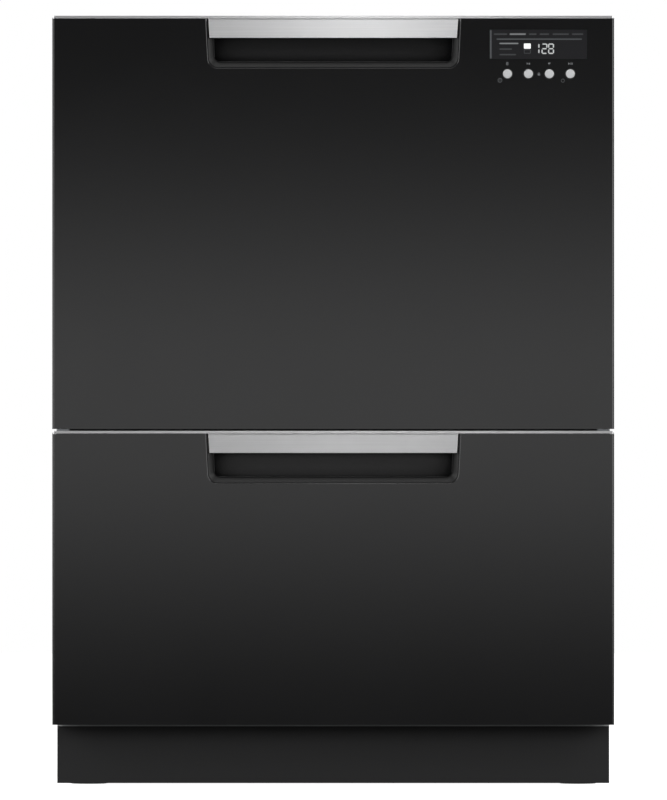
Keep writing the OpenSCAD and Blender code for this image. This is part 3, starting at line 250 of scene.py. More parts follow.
# %% Coated steel
def coated_steel(name, colour, rough, peel_mm, relief):
    material, tree, surface, place = finish_named(name, colour, Roughness=rough, IOR=1.5)
    drift = add(tree, "ShaderNodeTexNoise", [("Vector", place, "Object")], Scale=per_metre(90), Detail=2.0)
    gloss = add(tree, "ShaderNodeMapRange", [("Value", drift, "Fac")],
                To_Min=rough - 0.02, To_Max=rough + 0.02)
    peel = add(tree, "ShaderNodeTexNoise", [("Vector", place, "Object")],
               Scale=per_metre(peel_mm), Detail=1.0)
    bump = add(tree, "ShaderNodeBump", [("Height", peel, "Fac")], Strength=relief, Distance=0.00005)
    tree.links.new(gloss.outputs[0], surface.inputs["Roughness"])
    tree.links.new(bump.outputs[0], surface.inputs["Normal"])
    return material


black_coat = coated_steel("glossy_black_coat", "#060607", 0.2, 2.0, 0.12)
matt_coat = coated_steel("matt_black_powder_coat", "#151516", 0.5, 0.6, 0.3)
print(black_coat.name, "and", matt_coat.name)

# %% [markdown]
# ## Brushed stainless steel
# The bar and the strip are folded stainless sheet, such as AISI 430, brushed along their
# length. Each line is a fine scratch, so the metal looks streaked along X and its highlight
# spreads across the lines. A noise that is stretched along X gives the streaks. Real ones are
# about 0.1 mm wide, finer than a pixel here, so they are drawn 0.7 mm wide. Zinc-coated sheet
# has a function of its own: it is duller, and its crystals show as faint patches, the spangle.

# %% Brushed steel and zinc-coated steel
def brushed_steel(name, colour, rough, streak_mm=(160, 0.7, 0.7)):
    material, tree, surface, place = finish_named(name, colour, Metallic=1.0, Roughness=rough)
    surface.inputs["Anisotropic"].default_value = 0.92
    surface.inputs["Anisotropic Rotation"].default_value = 0.25
    stretch = add(tree, "ShaderNodeMapping", [("Vector", place, "Object")])
    stretch.inputs["Scale"].default_value = [per_metre(s) for s in streak_mm]
    lines = add(tree, "ShaderNodeTexNoise", [("Vector", stretch, 0)], Scale=1.0, Detail=3.0, Roughness=0.6)
    gloss = add(tree, "ShaderNodeMapRange", [("Value", lines, "Fac")],
                To_Min=rough - 0.05, To_Max=rough + 0.06)
    base = linear(colour)
    shade = add(tree, "ShaderNodeValToRGB", [("Fac", lines, "Fac")])
    dark, pale = shade.color_ramp.elements
    dark.position, pale.position = 0.3, 0.7
    dark.color = [0.93 * c for c in base[:3]] + [1.0]
    pale.color = [min(1.0, 1.03 * c) for c in base[:3]] + [1.0]
    bump = add(tree, "ShaderNodeBump", [("Height", lines, "Fac")], Strength=0.15, Distance=0.00004)
    tree.links.new(shade.outputs[0], surface.inputs["Base Color"])
    tree.links.new(gloss.outputs[0], surface.inputs["Roughness"])
    tree.links.new(bump.outputs[0], surface.inputs["Normal"])
    return material


def zinc_coated_steel():
    material, tree, surface, place = finish_named("zinc_coated_steel", "#b4b8bb",
                                                  Metallic=1.0, Roughness=0.42)
    spangle = add(tree, "ShaderNodeTexVoronoi", [("Vector", place, "Object")], Scale=per_metre(9))
    tone = add(tree, "ShaderNodeRGBToBW", [("Color", spangle, "Color")])
    shade = add(tree, "ShaderNodeValToRGB", [("Fac", tone, 0)])
    shade.color_ramp.elements[0].color = linear("#a9adb1")
    shade.color_ramp.elements[1].color = linear("#bfc3c5")
    gloss = add(tree, "ShaderNodeMapRange", [("Value", tone, 0)], To_Min=0.38, To_Max=0.5)
    tree.links.new(shade.outputs[0], surface.inputs["Base Color"])
    tree.links.new(gloss.outputs[0], surface.inputs["Roughness"])
    return material


bar_steel = brushed_steel("brushed_430_steel", "#d9d9da", 0.38)
runner_steel = brushed_steel("zinc_plated_runner_steel", "#c3c6c9", 0.3, (0.9, 60, 0.9))
zinc_sheet = zinc_coated_steel()
print("metals:", bar_steel.name, runner_steel.name, zinc_sheet.name)

# %% [markdown]
# ## Moulded plastics
# The pocket, the carriers and the feet are ABS with a fine spark-eroded grain of about 0.8 mm.
# The tubs, lids and small wash parts are polypropylene, which is softer to the eye: satin, and
# a little uneven where the melt flowed. One function makes them, because only the colour, the
# grain and the gloss differ. Rubber, lacquer, ink and the coating of the board are close enough
# to come from it too.

# %% Plastics
def moulded(name, colour, rough, grain_mm=0.8, flow=0.04, depth=0.00004):
    material, tree, surface, place = finish_named(name, colour, Roughness=rough, IOR=1.5)
    cloud = add(tree, "ShaderNodeTexNoise", [("Vector", place, "Object")], Scale=per_metre(60), Detail=3.0)
    base = linear(colour)
    shade = add(tree, "ShaderNodeValToRGB", [("Fac", cloud, "Fac")])
    shade.color_ramp.elements[0].color = [(1 - flow) * c for c in base[:3]] + [1.0]
    shade.color_ramp.elements[1].color = [min(1.0, (1 + flow) * c) for c in base[:3]] + [1.0]
    grain = add(tree, "ShaderNodeTexNoise", [("Vector", place, "Object")],
                Scale=per_metre(grain_mm), Detail=2.0)
    gloss = add(tree, "ShaderNodeMapRange", [("Value", grain, "Fac")],
                To_Min=rough - 0.04, To_Max=rough + 0.06)
    bump = add(tree, "ShaderNodeBump", [("Height", grain, "Fac")], Strength=0.3, Distance=depth)
    tree.links.new(shade.outputs[0], surface.inputs["Base Color"])
    tree.links.new(gloss.outputs[0], surface.inputs["Roughness"])
    tree.links.new(bump.outputs[0], surface.inputs["Normal"])
    return material


black_abs = moulded("black_abs_moulding", "#0c0c0d", 0.33)
tub_pp = moulded("light_grey_polypropylene", "#d5d9db", 0.34, 1.2, 0.02)
grey_pp = moulded("mid_grey_polypropylene", "#8d9398", 0.4, 1.0, 0.03)
motor_pbt = moulded("dark_grey_pbt_housing", "#4a4b4d", 0.55, 0.7)
seal_epdm = moulded("epdm_seal_rubber", "#2b2b2c", 0.7, 0.6, 0.05, 0.00006)
cap_silver = moulded("satin_silver_button_lacquer", "#c2c3c4", 0.34, 0.35, 0.05)
solder_mask = moulded("green_solder_mask", "#1f5a35", 0.25, 3.0, 0.12)
print("plastics and rubber:",
      [m.name for m in (black_abs, tub_pp, grey_pp, motor_pbt, seal_epdm, cap_silver, solder_mask)])

# %% [markdown]
# ## Nylon-coated wire
# The racks are steel wire dipped in nylon powder. The coating is thick and soft-edged, a
# satin grey with a slight ripple along the wire.

# %% Wire coating
def nylon_coat():
    material, tree, surface, place = finish_named("nylon_coated_wire", "#b7bcc1", Roughness=0.36, IOR=1.53)
    surface.inputs["Coat Weight"].default_value = 0.15
    surface.inputs["Coat Roughness"].default_value = 0.25
    ripple = add(tree, "ShaderNodeTexNoise", [("Vector", place, "Object")], Scale=per_metre(5), Detail=1.0)
    bump = add(tree, "ShaderNodeBump", [("Height", ripple, "Fac")], Strength=0.25, Distance=0.0001)
    tree.links.new(bump.outputs[0], surface.inputs["Normal"])
    return material


wire_coat = nylon_coat()
print(wire_coat.name)

# %% [markdown]
# ## The display window
# The window is tinted acrylic, polished, over a dark display module. It reads as a slightly
# paler, smoother rectangle than the coated steel around it. It stays opaque here: nothing
# behind it is meant to be seen, apart from the lit marks, which sit on its face.

# %% Window, lit marks and ink
def tinted_acrylic():
    material, tree, surface, place = finish_named("tinted_acrylic", "#1e1e20", Roughness=0.16, IOR=1.49)
    haze = add(tree, "ShaderNodeTexNoise", [("Vector", place, "Object")], Scale=per_metre(25), Detail=2.0)
    gloss = add(tree, "ShaderNodeMapRange", [("Value", haze, "Fac")], To_Min=0.13, To_Max=0.19)
    tree.links.new(gloss.outputs[0], surface.inputs["Roughness"])
    return material


def lit(name, colour, strength):
    """A lit segment, or a painted highlight: it glows by itself, a little unevenly, as over a lamp."""
    material, tree, surface, place = finish_named(name, "#101010", Roughness=0.4)
    uneven = add(tree, "ShaderNodeTexNoise", [("Vector", place, "Object")], Scale=per_metre(4), Detail=1.0)
    glow = linear(colour)
    shade = add(tree, "ShaderNodeValToRGB", [("Fac", uneven, "Fac")])
    shade.color_ramp.elements[0].color = [0.9 * c for c in glow[:3]] + [1.0]
    shade.color_ramp.elements[1].color = glow
    tree.links.new(shade.outputs[0], surface.inputs["Emission Color"])
    surface.inputs["Emission Strength"].default_value = strength
    return material


window_acrylic = tinted_acrylic()
lit_white = lit("white_display_light", "#ffffff", 1.1)
lit_digits = lit("digit_display_light", "#c6c8c9", 1.0)
lit_soft = lit("soft_display_light", "#77797b", 1.0)
# The rule's glow also makes the painted highlight down the window's left edge.
lit_rule_and_painted_highlight = lit("rule_light_and_painted_edge_highlight", "#474a4c", 1.0)
lit_dim = lit("dim_display_light", "#343638", 1.0)
ink_grey = moulded("pale_grey_ink", "#6c6e70", 0.5, 0.3, 0.08, 0.00001)
ink_faint = moulded("dark_grey_ink", "#4b4d4f", 0.5, 0.3, 0.08, 0.00001)
print("display:", window_acrylic.name, lit_white.name, "ink:", ink_grey.name)

# %% [markdown]
# ## Giving the CAD pieces their finishes
# The record names a material slot for every piece, by what the piece is made of. Looking the
# finish up by slot means that no piece is forgotten.

# %% Paint the CAD pieces
FINISH_OF_SLOT = {
    "black_coated_steel": black_coat, "brushed_steel": bar_steel, "black_moulding": black_abs,
    "zinc_coated_steel": zinc_sheet, "runner_steel": runner_steel, "tub_moulding": tub_pp,
    "grey_moulding": grey_pp, "motor_housing": motor_pbt, "coated_wire": wire_coat,
    "seal_rubber": seal_epdm, "tinted_window": window_acrylic, "button_caps": cap_silver,
    "circuit_board": solder_mask,
}


def paint(item, material):
    if not item.material_slots:
        item.data.materials.append(material)
    for place in item.material_slots:
        place.material = material


for part in frame["record"]["subparts"]:
    paint(nodes[part["node"]], FINISH_OF_SLOT[part["material_slot"]])
paint(nodes["kick_strip"], matt_coat)

# %% [markdown]
# ## Marks on the display
# The display shows rows of small bars, a picture of the two drawers and a number in plain
# seven-segment figures. All marks are inlays 0.15 mm thick on the window's face, because lit
# segments lie flat under the glass. A glowing strip down the window's left edge is no segment:
# it is a painted highlight, where the edge of the window would catch the light.
#
# Each mark is an outline in the plane of the front, made into a thin plate. Drawing outlines,
# not textures, keeps the marks sharp at any distance.

# %% Mark making
def arc(x, z, r, start, end, steps=5):
    """Points on an arc, in degrees, in the plane of the front."""
    turns = [math.radians(start + (end - start) * i / steps) for i in range(steps + 1)]
    return [(x + r * math.cos(t), z + r * math.sin(t)) for t in turns]


def plate(x0, x1, z0, z1, r=0.3):
    """The outline of a rounded rectangle, anticlockwise."""
    r = min(r, (x1 - x0) / 2 - 0.001, (z1 - z0) / 2 - 0.001)
    return (arc(x1 - r, z1 - r, r, 0, 90) + arc(x0 + r, z1 - r, r, 90, 180)
            + arc(x0 + r, z0 + r, r, 180, 270) + arc(x1 - r, z0 + r, r, 270, 360))


def frame_of(outer, inner):
    """The strips between two outlines with as many points each."""
    n = len(outer)
    return [[outer[i], outer[(i + 1) % n], inner[(i + 1) % n], inner[i]] for i in range(n)]


def inlay(name, outlines, face_y, thick, material, body):
    """One object from many outlines in mm, each raised by thick mm in front of face_y."""
    shape = bmesh.new()
    for outline in outlines:
        back = [shape.verts.new((x * MM, face_y, z * MM)) for x, z in outline]
        front = [shape.verts.new((x * MM, face_y - thick * MM, z * MM)) for x, z in outline]
        shape.faces.new(front)
        shape.faces.new(back[::-1])
        for i in range(len(outline)):
            j = (i + 1) % len(outline)
            shape.faces.new((front[j], front[i], back[i], back[j]))
    bmesh.ops.recalc_face_normals(shape, faces=shape.faces)
    mesh = bpy.data.meshes.new(name)
    shape.to_mesh(mesh)
    shape.free()
    item = bpy.data.objects.new(name, mesh)
    bpy.context.scene.collection.objects.link(item)
    mesh.materials.append(material)
    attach(item, body)
    return item


print("a rounded plate has", len(plate(0, 4, 0, 2)), "points")

# %% Marks on the window
window_low, window_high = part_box("display_window")
WINDOW_Y = window_low.y
LIT_THICK = 0.15
X0, Z1 = 1000 * window_low.x, 1000 * window_high.z
print("window in mm: x", round(X0, 1), "to", round(1000 * window_high.x, 1), "top", round(Z1, 1))


def row_bar(x0, x1, down, high):
    """A bar from x0 to x1 mm right of the window's left edge, its middle down mm below the top."""
    z = Z1 - down
    return plate(X0 + x0, X0 + x1, z - high / 2, z + high / 2, high / 2)


def lit_mark(name, outlines, light):
    """Outlines that glow on the face of the window."""
    inlay(name, outlines, WINDOW_Y, LIT_THICK, light, "upper_drawer")


TOP_ROW = ((4.3, 18.7), (41.8, 49.9), (53.2, 63.2), (67.0, 84.3), (87.5, 99.7))
lit_mark("display_programme_bars", [row_bar(a, b, 4.9, 1.5) for a, b in TOP_ROW], lit_dim)
lit_mark("display_chosen_bars", [row_bar(21.2, 38.5, 4.9, 1.7), row_bar(10.3, 30.6, 14.8, 1.5)], lit_soft)
lit_mark("display_list_bars", [row_bar(10.3, 23.7, 20.8, 1.4), row_bar(10.3, 28.1, 26.7, 1.4)], lit_dim)
lit_mark("display_rule", [row_bar(7.3, 98.2, 10.2, 1.3)], lit_rule_and_painted_highlight)
# A painted highlight: a thin glowing strip down the window's left edge, where its bevel would catch the
# light.
lit_mark("display_left_edge_painted_highlight", [plate(X0 + 0.2, X0 + 2.0, Z1 - 31.0, Z1 - 0.4, 0.9)], lit_rule_and_painted_highlight)

# The picture of the two drawers: the upper one filled, the lower one an outline.
top_z = Z1 - 14.8
lit_mark("display_drawer_sign", [plate(X0 + 36.4, X0 + 43.7, top_z - 5.6, top_z, 0.7)], lit_white)
lit_mark("display_lower_drawer_sign",
         frame_of(plate(X0 + 36.4, X0 + 43.7, top_z - 10.8, top_z - 6.3, 0.8),
                  plate(X0 + 37.1, X0 + 43.0, top_z - 10.1, top_z - 7.0, 0.4)), lit_dim)


def segments(digit, x, z, wide, high, stroke):
    """The lit segments of a seven-segment digit whose lower left corner is (x, z)."""
    lit_ones = {1: "bc", 2: "abged", 8: "abcdefg"}[digit]
    s, half = stroke / 2, high / 2
    level = {"a": high - s, "g": half, "d": s}
    upright = {"b": (wide - s, half), "c": (wide - s, 0), "e": (s, 0), "f": (s, half)}
    shapes = []
    for name in lit_ones:
        if name in level:
            y = z + level[name]
            near, far = x + stroke + 0.1, x + wide - stroke - 0.1
            shapes.append([(x + s + 0.15, y), (near, y - s), (far, y - s),
                           (x + wide - s - 0.15, y), (far, y + s), (near, y + s)])
        else:
            dx, dz = upright[name]
            a, b = z + dz + s + 0.15, z + dz + half - s + (0.15 if dz else 0.0)
            cx = x + dx
            shapes.append([(cx, a), (cx + s, a + s), (cx + s, b - s),
                           (cx, b), (cx - s, b - s), (cx - s, a + s)])
    return shapes


digits = []
for digit, left in ((1, 47.8), (2, 55.1), (8, 62.1)):
    wide = 5.2 if digit == 1 else 6.4
    digits += segments(digit, X0 + left, Z1 - 26.0, wide, 11.2, 1.3)
lit_mark("display_digits", digits, lit_digits)
print("digits:", len(digits), "segments")

# %% [markdown]
# ## Printed marks round the buttons
# Small signs, 2 to 5 mm across, are screen-printed on the coated steel in pale grey ink. They
# are plain shapes for a drawer, a delay, start and a lock.

# %% Printed marks
skin_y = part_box("upper_front_skin")[0].y
BUTTONS = [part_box("button_%d" % i) for i in (1, 2, 3, 4)]
button_mid = [(500 * (low.x + high.x), 500 * (low.z + high.z)) for low, high in BUTTONS]
print("button middles in mm:", [(round(x, 1), round(z, 1)) for x, z in button_mid])


def ring_of(x, z, r, wide, steps=20):
    last = 360 - 360 / steps
    return frame_of(arc(x, z, r, 0, last, steps - 1), arc(x, z, r - wide, 0, last, steps - 1))


ink = []
(b1x, bz), (b2x, _), (b3x, _), (b4x, _) = button_mid
up = bz + 11.0
ink += frame_of(plate(b1x - 1.4, b1x + 0.8, up - 1.6, up + 1.6, 0.4),
                plate(b1x - 0.9, b1x + 0.3, up - 1.1, up + 1.1, 0.2))
ink += [plate(b1x - 1.1, b1x + 0.5, up - 0.2, up + 0.2, 0.1)]
ink += [[(b2x - 1.9, up - 1.3), (b2x + 0.1, up), (b2x - 1.9, up + 1.3)],
        plate(b2x + 0.3, b2x + 1.7, up - 1.2, up + 0.9, 0.3)]
ink += [plate(b3x - 1.4, b3x + 1.0, up - 0.3, up + 1.2, 0.4),
        [(b3x - 0.9, up - 1.8), (b3x + 0.2, up - 0.4), (b3x - 0.5, up)]]
ink += [[(b4x - 2.2, up - 1.3), (b4x - 0.2, up), (b4x - 2.2, up + 1.3)],
        plate(b4x + 0.3, b4x + 1.0, up - 1.2, up + 1.2, 0.1),
        plate(b4x + 1.6, b4x + 2.3, up - 1.2, up + 1.2, 0.1)]
lock_x = (b2x + b3x) / 2
ink += [plate(lock_x - 1.3, lock_x + 1.3, bz - 1.6, bz + 0.5, 0.4)] + ring_of(lock_x, bz + 0.6, 1.0, 0.45)
INK_THICK = 0.1
inlay("printed_button_signs", ink, skin_y, INK_THICK, ink_grey, "upper_drawer")
faint = ring_of(b1x - 8.0, bz - 6.7, 2.4, 0.7) + [plate(b1x - 8.3, b1x - 7.7, bz - 7.4, bz - 4.6, 0.2)]
faint += ring_of(b4x - 8.0, bz - 7.1, 2.0, 0.5)
inlay("printed_small_signs", faint, skin_y, INK_THICK, ink_faint, "upper_drawer")
print("printed shapes:", len(ink) + len(faint))

# %% [markdown]
# ## Racks of bent wire
# A rack is made from straight lengths of 4 mm wire. A machine bends the ends up, the wires are
# laid across one another and spot-welded, and the whole rack is dipped. So each wire here is
# one path that goes down one wall, over the floor and up the other wall, with bends of 8 mm
# radius. The CAD racks have straight pieces with square corners, which these replace.
#
# A curve with a round bevel is the plain way to make wire: the path is the design, and the
# thickness is one number. Corners are rounded by a function that swaps each corner for an arc.

# %% Bent wire
WIRE_R = 2.0


def with_bends(corners, r, closed=False, steps=5):
    """Swaps each corner of a path for an arc of radius r. Corners are Vectors in mm."""
    count = len(corners)
    path = []
    for i, corner in enumerate(corners):
        if not closed and i in (0, count - 1):
            path.append(corner)
            continue
        back = (corners[i - 1] - corner).normalized()
        ahead = (corners[(i + 1) % count] - corner).normalized()
        half = back.angle(ahead) / 2
        middle = corner + (back + ahead).normalized() * (r / math.sin(half))
        start = corner + back * (r / math.tan(half)) - middle
        end = corner + ahead * (r / math.tan(half)) - middle
        for k in range(steps + 1):
            path.append(middle + start.normalized().slerp(end.normalized(), k / steps) * r)
    return path


def wire_object(name, paths, body, replaced, material=None):
    """One curve object from many paths. A path is (points in mm, closed, thickness per point)."""
    curve = bpy.data.curves.new(name, "CURVE")
    curve.dimensions = "3D"
    curve.bevel_depth = WIRE_R * MM
    curve.bevel_resolution = 2
    curve.use_fill_caps = True
    for points, closed, thickness in paths:
        spline = curve.splines.new("POLY")
        spline.points.add(len(points) - 1)
        spline.use_cyclic_u = closed
        for k, (place, point) in enumerate(zip(spline.points, points)):
            place.co = (point.x * MM, point.y * MM, point.z * MM, 1)
            place.radius = thickness[k] if thickness else 1.0
    item = bpy.data.objects.new(name, curve)
    bpy.context.scene.collection.objects.link(item)
    curve.materials.append(material or wire_coat)
    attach(item, body)
    if replaced:
        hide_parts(replaced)
    return item


right_angle = [Vector((0, 0, 9)), Vector(), Vector((9, 0, 0))]
print("a right-angle bend becomes", len(with_bends(right_angle, 3)) - 2, "points")

# %% The racks of both drawers
# Wires that cross lie LAY apart, middle to middle. The rack's floor is RACK_FLOOR above its feet.
LAY = 2 * WIRE_R + 0.05
RACK_FLOOR = 39.9
WIRE_XS = range(-200, 201, 40)
WIRE_BEND, RIM_BEND = 8, 34
ROWS, ROW_INSET = 8, 34
TINES = 12


def rack(bay, body):
    low, high = (1000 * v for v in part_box(bay + "_dish_rack"))
    side, front, back = high.x - LAY - WIRE_R, low.y + LAY + WIRE_R, high.y - LAY - WIRE_R
    base = low.z + RACK_FLOOR
    rail = high.z - WIRE_R
    paths = []
    for x in WIRE_XS:
        corners = [Vector((x, y, z)) for y, z in ((front, rail), (front, base), (back, base), (back, rail))]
        paths.append((with_bends(corners, WIRE_BEND), False, None))
    rows = [front + ROW_INSET + i * (back - front - 2 * ROW_INSET) / (ROWS - 1) for i in range(ROWS)]
    for y in rows:
        under = base - LAY
        corners = [Vector((x, y, z)) for x, z in
                   ((-side, rail), (-side, under), (side, under), (side, rail))]
        paths.append((with_bends(corners, WIRE_BEND), False, None))
    for z in (rail, (rail + base) / 2):
        x, y0, y1 = side + LAY, front - LAY, back + LAY
        corners = [Vector((x, y0, z)), Vector((x, y1, z)), Vector((-x, y1, z)), Vector((-x, y0, z))]
        paths.append((with_bends(corners, RIM_BEND, closed=True, steps=8), True, None))
    # Tines stand on four of the wires. Their tips are rounded by the thick coating.
    first, last = rows[0] + 6, rows[-1] - 6
    for x in (-160, -80, 0, 80):
        for i in range(TINES):
            y = first + i * (last - first) / (TINES - 1)
            heights, thickness = (1.5, 60, 61.2, 61.8, 62), (1, 1, 0.85, 0.5, 0.1)
            paths.append(([Vector((x, y, base + h)) for h in heights], False, thickness))
    # Four legs with soft boots hold the rack off the floor of the tub.
    for x in (-210, 210):
        for y in (rows[0], rows[-1]):
            heights, thickness = (0, 0.6, 2.5, 28, 29, 33.8), (0.8, 1.25, 1.5, 1.5, 1.0, 1.0)
            paths.append(([Vector((x, y, low.z + h)) for h in heights], False, thickness))
    wire_object(bay + "_bent_wire_rack", paths, body, bay + "_dish_rack")
    return len(paths)


for bay, body in BAYS.items():
    print(bay, "rack:", rack(bay, body), "wires")

# %% [markdown]
# ## Screws, feet and threads
# Sheet metal is held together by pan-head screws, and a driver turns them by the cross in the
# head. A head is a turned profile whose flat top is filled round a cross-shaped pit. Heads that
# ride on the same body are one object, since they are all the same screw.
#
# A moulded thread is coarse, so that a fitter can turn the foot by hand. It is drawn as a ridge
# that climbs round the stem by one pitch a turn, and fades in and out at its ends.

# %% Turned shapes, screw heads and threads
def standing(place, toward, spin=0.0):
    """The matrix that puts a shape, modelled along +Z in mm, at that place, looking that way."""
    turn = Vector(toward).to_track_quat("Z", "Y").to_matrix().to_4x4()
    return Matrix.Translation(Vector(place)) @ turn @ Matrix.Rotation(spin, 4, "Z")


def loop(shape, at, points):
    return [shape.verts.new((at @ Vector(point)) * MM) for point in points]


def walls(shape, loops):
    for low, high in zip(loops, loops[1:]):
        for k in range(len(low)):
            shape.faces.new((low[k - 1], low[k], high[k], high[k - 1]))


def turned(shape, at, profile, steps=24, ends=(True, True)):
    """Turns a profile of (radius, height) about the axis. ends says whether it is closed below
    and above. Returns the top ring."""
    loops = [loop(shape, at, [(r * math.cos(math.tau * k / steps), r * math.sin(math.tau * k / steps), h)
                              for k in range(steps)]) for r, h in profile]
    walls(shape, loops)
    if ends[0]:
        shape.faces.new(loops[0][::-1])
    if ends[1]:
        shape.faces.new(loops[-1])
    return loops[-1]


def screw_head(shape, place, toward, r=3.6, high=1.6, spin=0.0):
    at = standing(place, toward, spin)
    dome = [(r, 0), (r, 0.4 * high), (0.88 * r, 0.8 * high), (0.66 * r, high)]
    rim = turned(shape, at, dome, 20, (True, False))
    half, arm = 0.11 * r, 0.48 * r
    cross = []
    for quarter in range(4):
        turn = Matrix.Rotation(quarter * math.pi / 2, 2)
        cross += [turn @ Vector(p) for p in ((half, -half), (arm, -half), (arm, half))]
    edge = loop(shape, at, [(p.x, p.y, high) for p in cross])
    pit = loop(shape, at, [(0.8 * p.x, 0.8 * p.y, 0.3 * high) for p in cross])
    walls(shape, [pit, edge])
    shape.faces.new(pit)
    border = [shape.edges.get((ring[k - 1], ring[k])) for ring in (rim, edge) for k in range(len(ring))]
    bmesh.ops.triangle_fill(shape, edges=border)


def thread(shape, at, low, high, root, crest, pitch, steps=16):
    """A ridge that climbs round a stem from low to high."""
    count = int((high - low) / pitch * steps)
    profiles = []
    for k in range(count + 1):
        a, z = math.tau * k / steps, low + k * pitch / steps
        tall = root + (crest - root) * min(1.0, k / 8, (count - k) / 8)
        points = ((root - 0.3, 0), (tall, 0.32 * pitch), (tall, 0.5 * pitch), (root - 0.3, 0.82 * pitch))
        profiles.append(loop(shape, at, [(r * math.cos(a), r * math.sin(a), z + h) for r, h in points]))
    for one, two in zip(profiles, profiles[1:]):
        for k in range(3):
            shape.faces.new((one[k], two[k], two[k + 1], one[k + 1]))


def finished(name, shape, material, body, replaced=None):
    bmesh.ops.recalc_face_normals(shape, faces=shape.faces)
    mesh = bpy.data.meshes.new(name)
    shape.to_mesh(mesh)
    shape.free()
    for face in mesh.polygons:
        face.use_smooth = True
    mesh.set_sharp_from_angle(angle=math.radians(35))
    item = bpy.data.objects.new(name, mesh)
    bpy.context.scene.collection.objects.link(item)
    mesh.materials.append(material)
    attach(item, body)
    if replaced:
        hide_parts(replaced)
    return item


aim = standing((0, 0, 0), (1, 0, 0)).to_3x3() @ Vector((0, 0, 1))
print("a screw head looks along", tuple(round(v) for v in aim))

# %% Screws of the cabinet and the drawers
LEFT, RIGHT, BACK = (-1, 0, 0), (1, 0, 0), (0, 1, 0)
screw_steel = brushed_steel("zinc_plated_screw_steel", "#b9bcbe", 0.34, (0.8, 0.8, 0.8))
side_high = 1000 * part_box("right_side_panel")[1]
panel_y = 1000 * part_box("back_panel")[0].y + 1.2


def cabinet_screws():
    """(place, direction) of every head on the cabinet."""
    heads = []
    for toward in (LEFT, RIGHT):
        x = toward[0] * side_high.x
        heads += [((x, side_high.y - 17.5, z), toward) for z in (116, 290, 470, 640, 790)]
        heads += [((x, y, side_high.z - 10), toward) for y in (-170, 20, 210)]
        heads += [((x, y, 76), toward) for y in (-190, 20, 230)]
        for bay in BAYS:
            low, high = (1000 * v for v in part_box(bay + "_inner_runners"))
            middle = (low.z + high.z) / 2
            heads += [((x, y, middle), toward) for y in (low.y + 30, (low.y + high.y) / 2, high.y - 30)]
    heads += [((x, panel_y, 76), BACK) for x in (-265, -90, 90, 265)]
    for x, half in ((-220, 15), (196, 13), (236, 13)):
        heads += [((x + s * half, panel_y, 110 - s * half), BACK) for s in (-1, 1)]
    return heads


def drawer_screws(bay):
    """(place, direction) of the heads on the back of a front, and on the inner runners."""
    low, high = (1000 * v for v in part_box(bay + "_front_carrier"))
    levels = (low.z + 12, (low.z + high.z) / 2, high.z - 12)
    heads = [((s * (high.x - 9), high.y, z), BACK) for s in (-1, 1) for z in levels]
    run_low, run_high = (1000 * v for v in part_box(bay + "_inner_runners"))
    middle = (run_low.z + run_high.z) / 2
    web = run_high.x - 6 + 1.2
    heads += [((s * web, y, middle), (s, 0, 0)) for s in (-1, 1) for y in (run_low.y + 60, run_high.y - 60)]
    return heads


def screws(name, heads, body, high):
    shape = bmesh.new()
    for k, (place, toward) in enumerate(heads):
        screw_head(shape, place, toward, high=high, spin=0.7 * k)
    finished(name, shape, screw_steel, body)
    return len(heads)


print("cabinet screws:", screws("cabinet_screws", cabinet_screws(), "cabinet", 1.6))
for bay, body in BAYS.items():
    print(bay, "drawer screws:", screws(bay + "_drawer_screws", drawer_screws(bay), body, 1.2))

# %% Threaded feet and hose spigots
UP = (0, 0, 1)


def threaded_foot(node):
    """A pad with a bevelled edge, a hexagon with broken corners and a stem with a coarse thread."""
    low, high = (1000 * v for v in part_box(node))
    at = standing(((low.x + high.x) / 2, (low.y + high.y) / 2, low.z), UP)
    shape = bmesh.new()
    turned(shape, at, [(19.3, 0), (20, 0.7), (19.6, 2.6), (18.8, 3), (18.3, 7.2), (17.6, 8)], 48)
    turned(shape, at, [(9.2, 7), (10, 7.6), (10, 14.2), (9.2, 15)], 6)
    turned(shape, at, [(5.2, 14), (5.2, 99.2), (4.6, 100)], 20)
    thread(shape, at, 15.2, 97, 5.2, 6.0, 3.0)
    finished(node.replace("foot", "levelling_foot"), shape, black_abs, node, node)


for corner in ("front_left", "front_right", "rear_left", "rear_right"):
    threaded_foot(corner + "_foot")


def spigot_details():
    """The thread for the inlet hose, barbs for the drain hoses and a plug in the cable hole."""
    shape = bmesh.new()
    thread(shape, standing((-220, panel_y + 3.5, 110), BACK), 0, 18, 13.2, 14.0, 2.3, 28)
    for x in (196, 236):
        for step in range(3):
            y = panel_y + 8 + 5 * step
            barb = [(10.2, 0), (11.5, 0.3), (11.5, 1.0), (10.2, 4)]
            turned(shape, standing((x, y, 110), BACK), barb, 28, (False, False))
    plug = [(7.7, 0), (7.7, 1.9), (11, 1.9), (11, 2.8), (9.8, 3.4)]
    turned(shape, standing((-150, panel_y - 1.8, 110), BACK), plug, 28)
    finished("spigot_threads_and_plug", shape, black_abs, "cabinet")


spigot_details()
print("feet threaded, spigots at y =", round(panel_y), "mm")

# %% [markdown]
# ## Button caps and the display glass
# Each button is a black moulding with a bright lacquered cap pressed on its end. The cap is
# smaller than the hole, so a dark ring shows round it, and its edge is rounded to suit a
# finger. The glass of the display has rounded corners.

# %% Caps and glass
def button_pieces(node):
    low, high = (1000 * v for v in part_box(node))
    at = standing(((low.x + high.x) / 2, low.y, (low.z + high.z) / 2 + 0.2), BACK)
    cap, stem = bmesh.new(), bmesh.new()
    turned(cap, at, [(4.0, 0), (4.5, 0.08), (4.75, 0.25), (4.85, 0.6), (4.85, 2.2)], 40)
    finished(node + "_cap", cap, cap_silver, node, node)
    profile = [(5.3, 0.8), (5.6, 1.0), (5.6, 1.4), (7.2, 1.4), (7.2, 2.7), (2.5, 2.7), (2.5, high.y - low.y)]
    turned(stem, at, profile, 40)
    finished(node + "_stem", stem, black_abs, node)


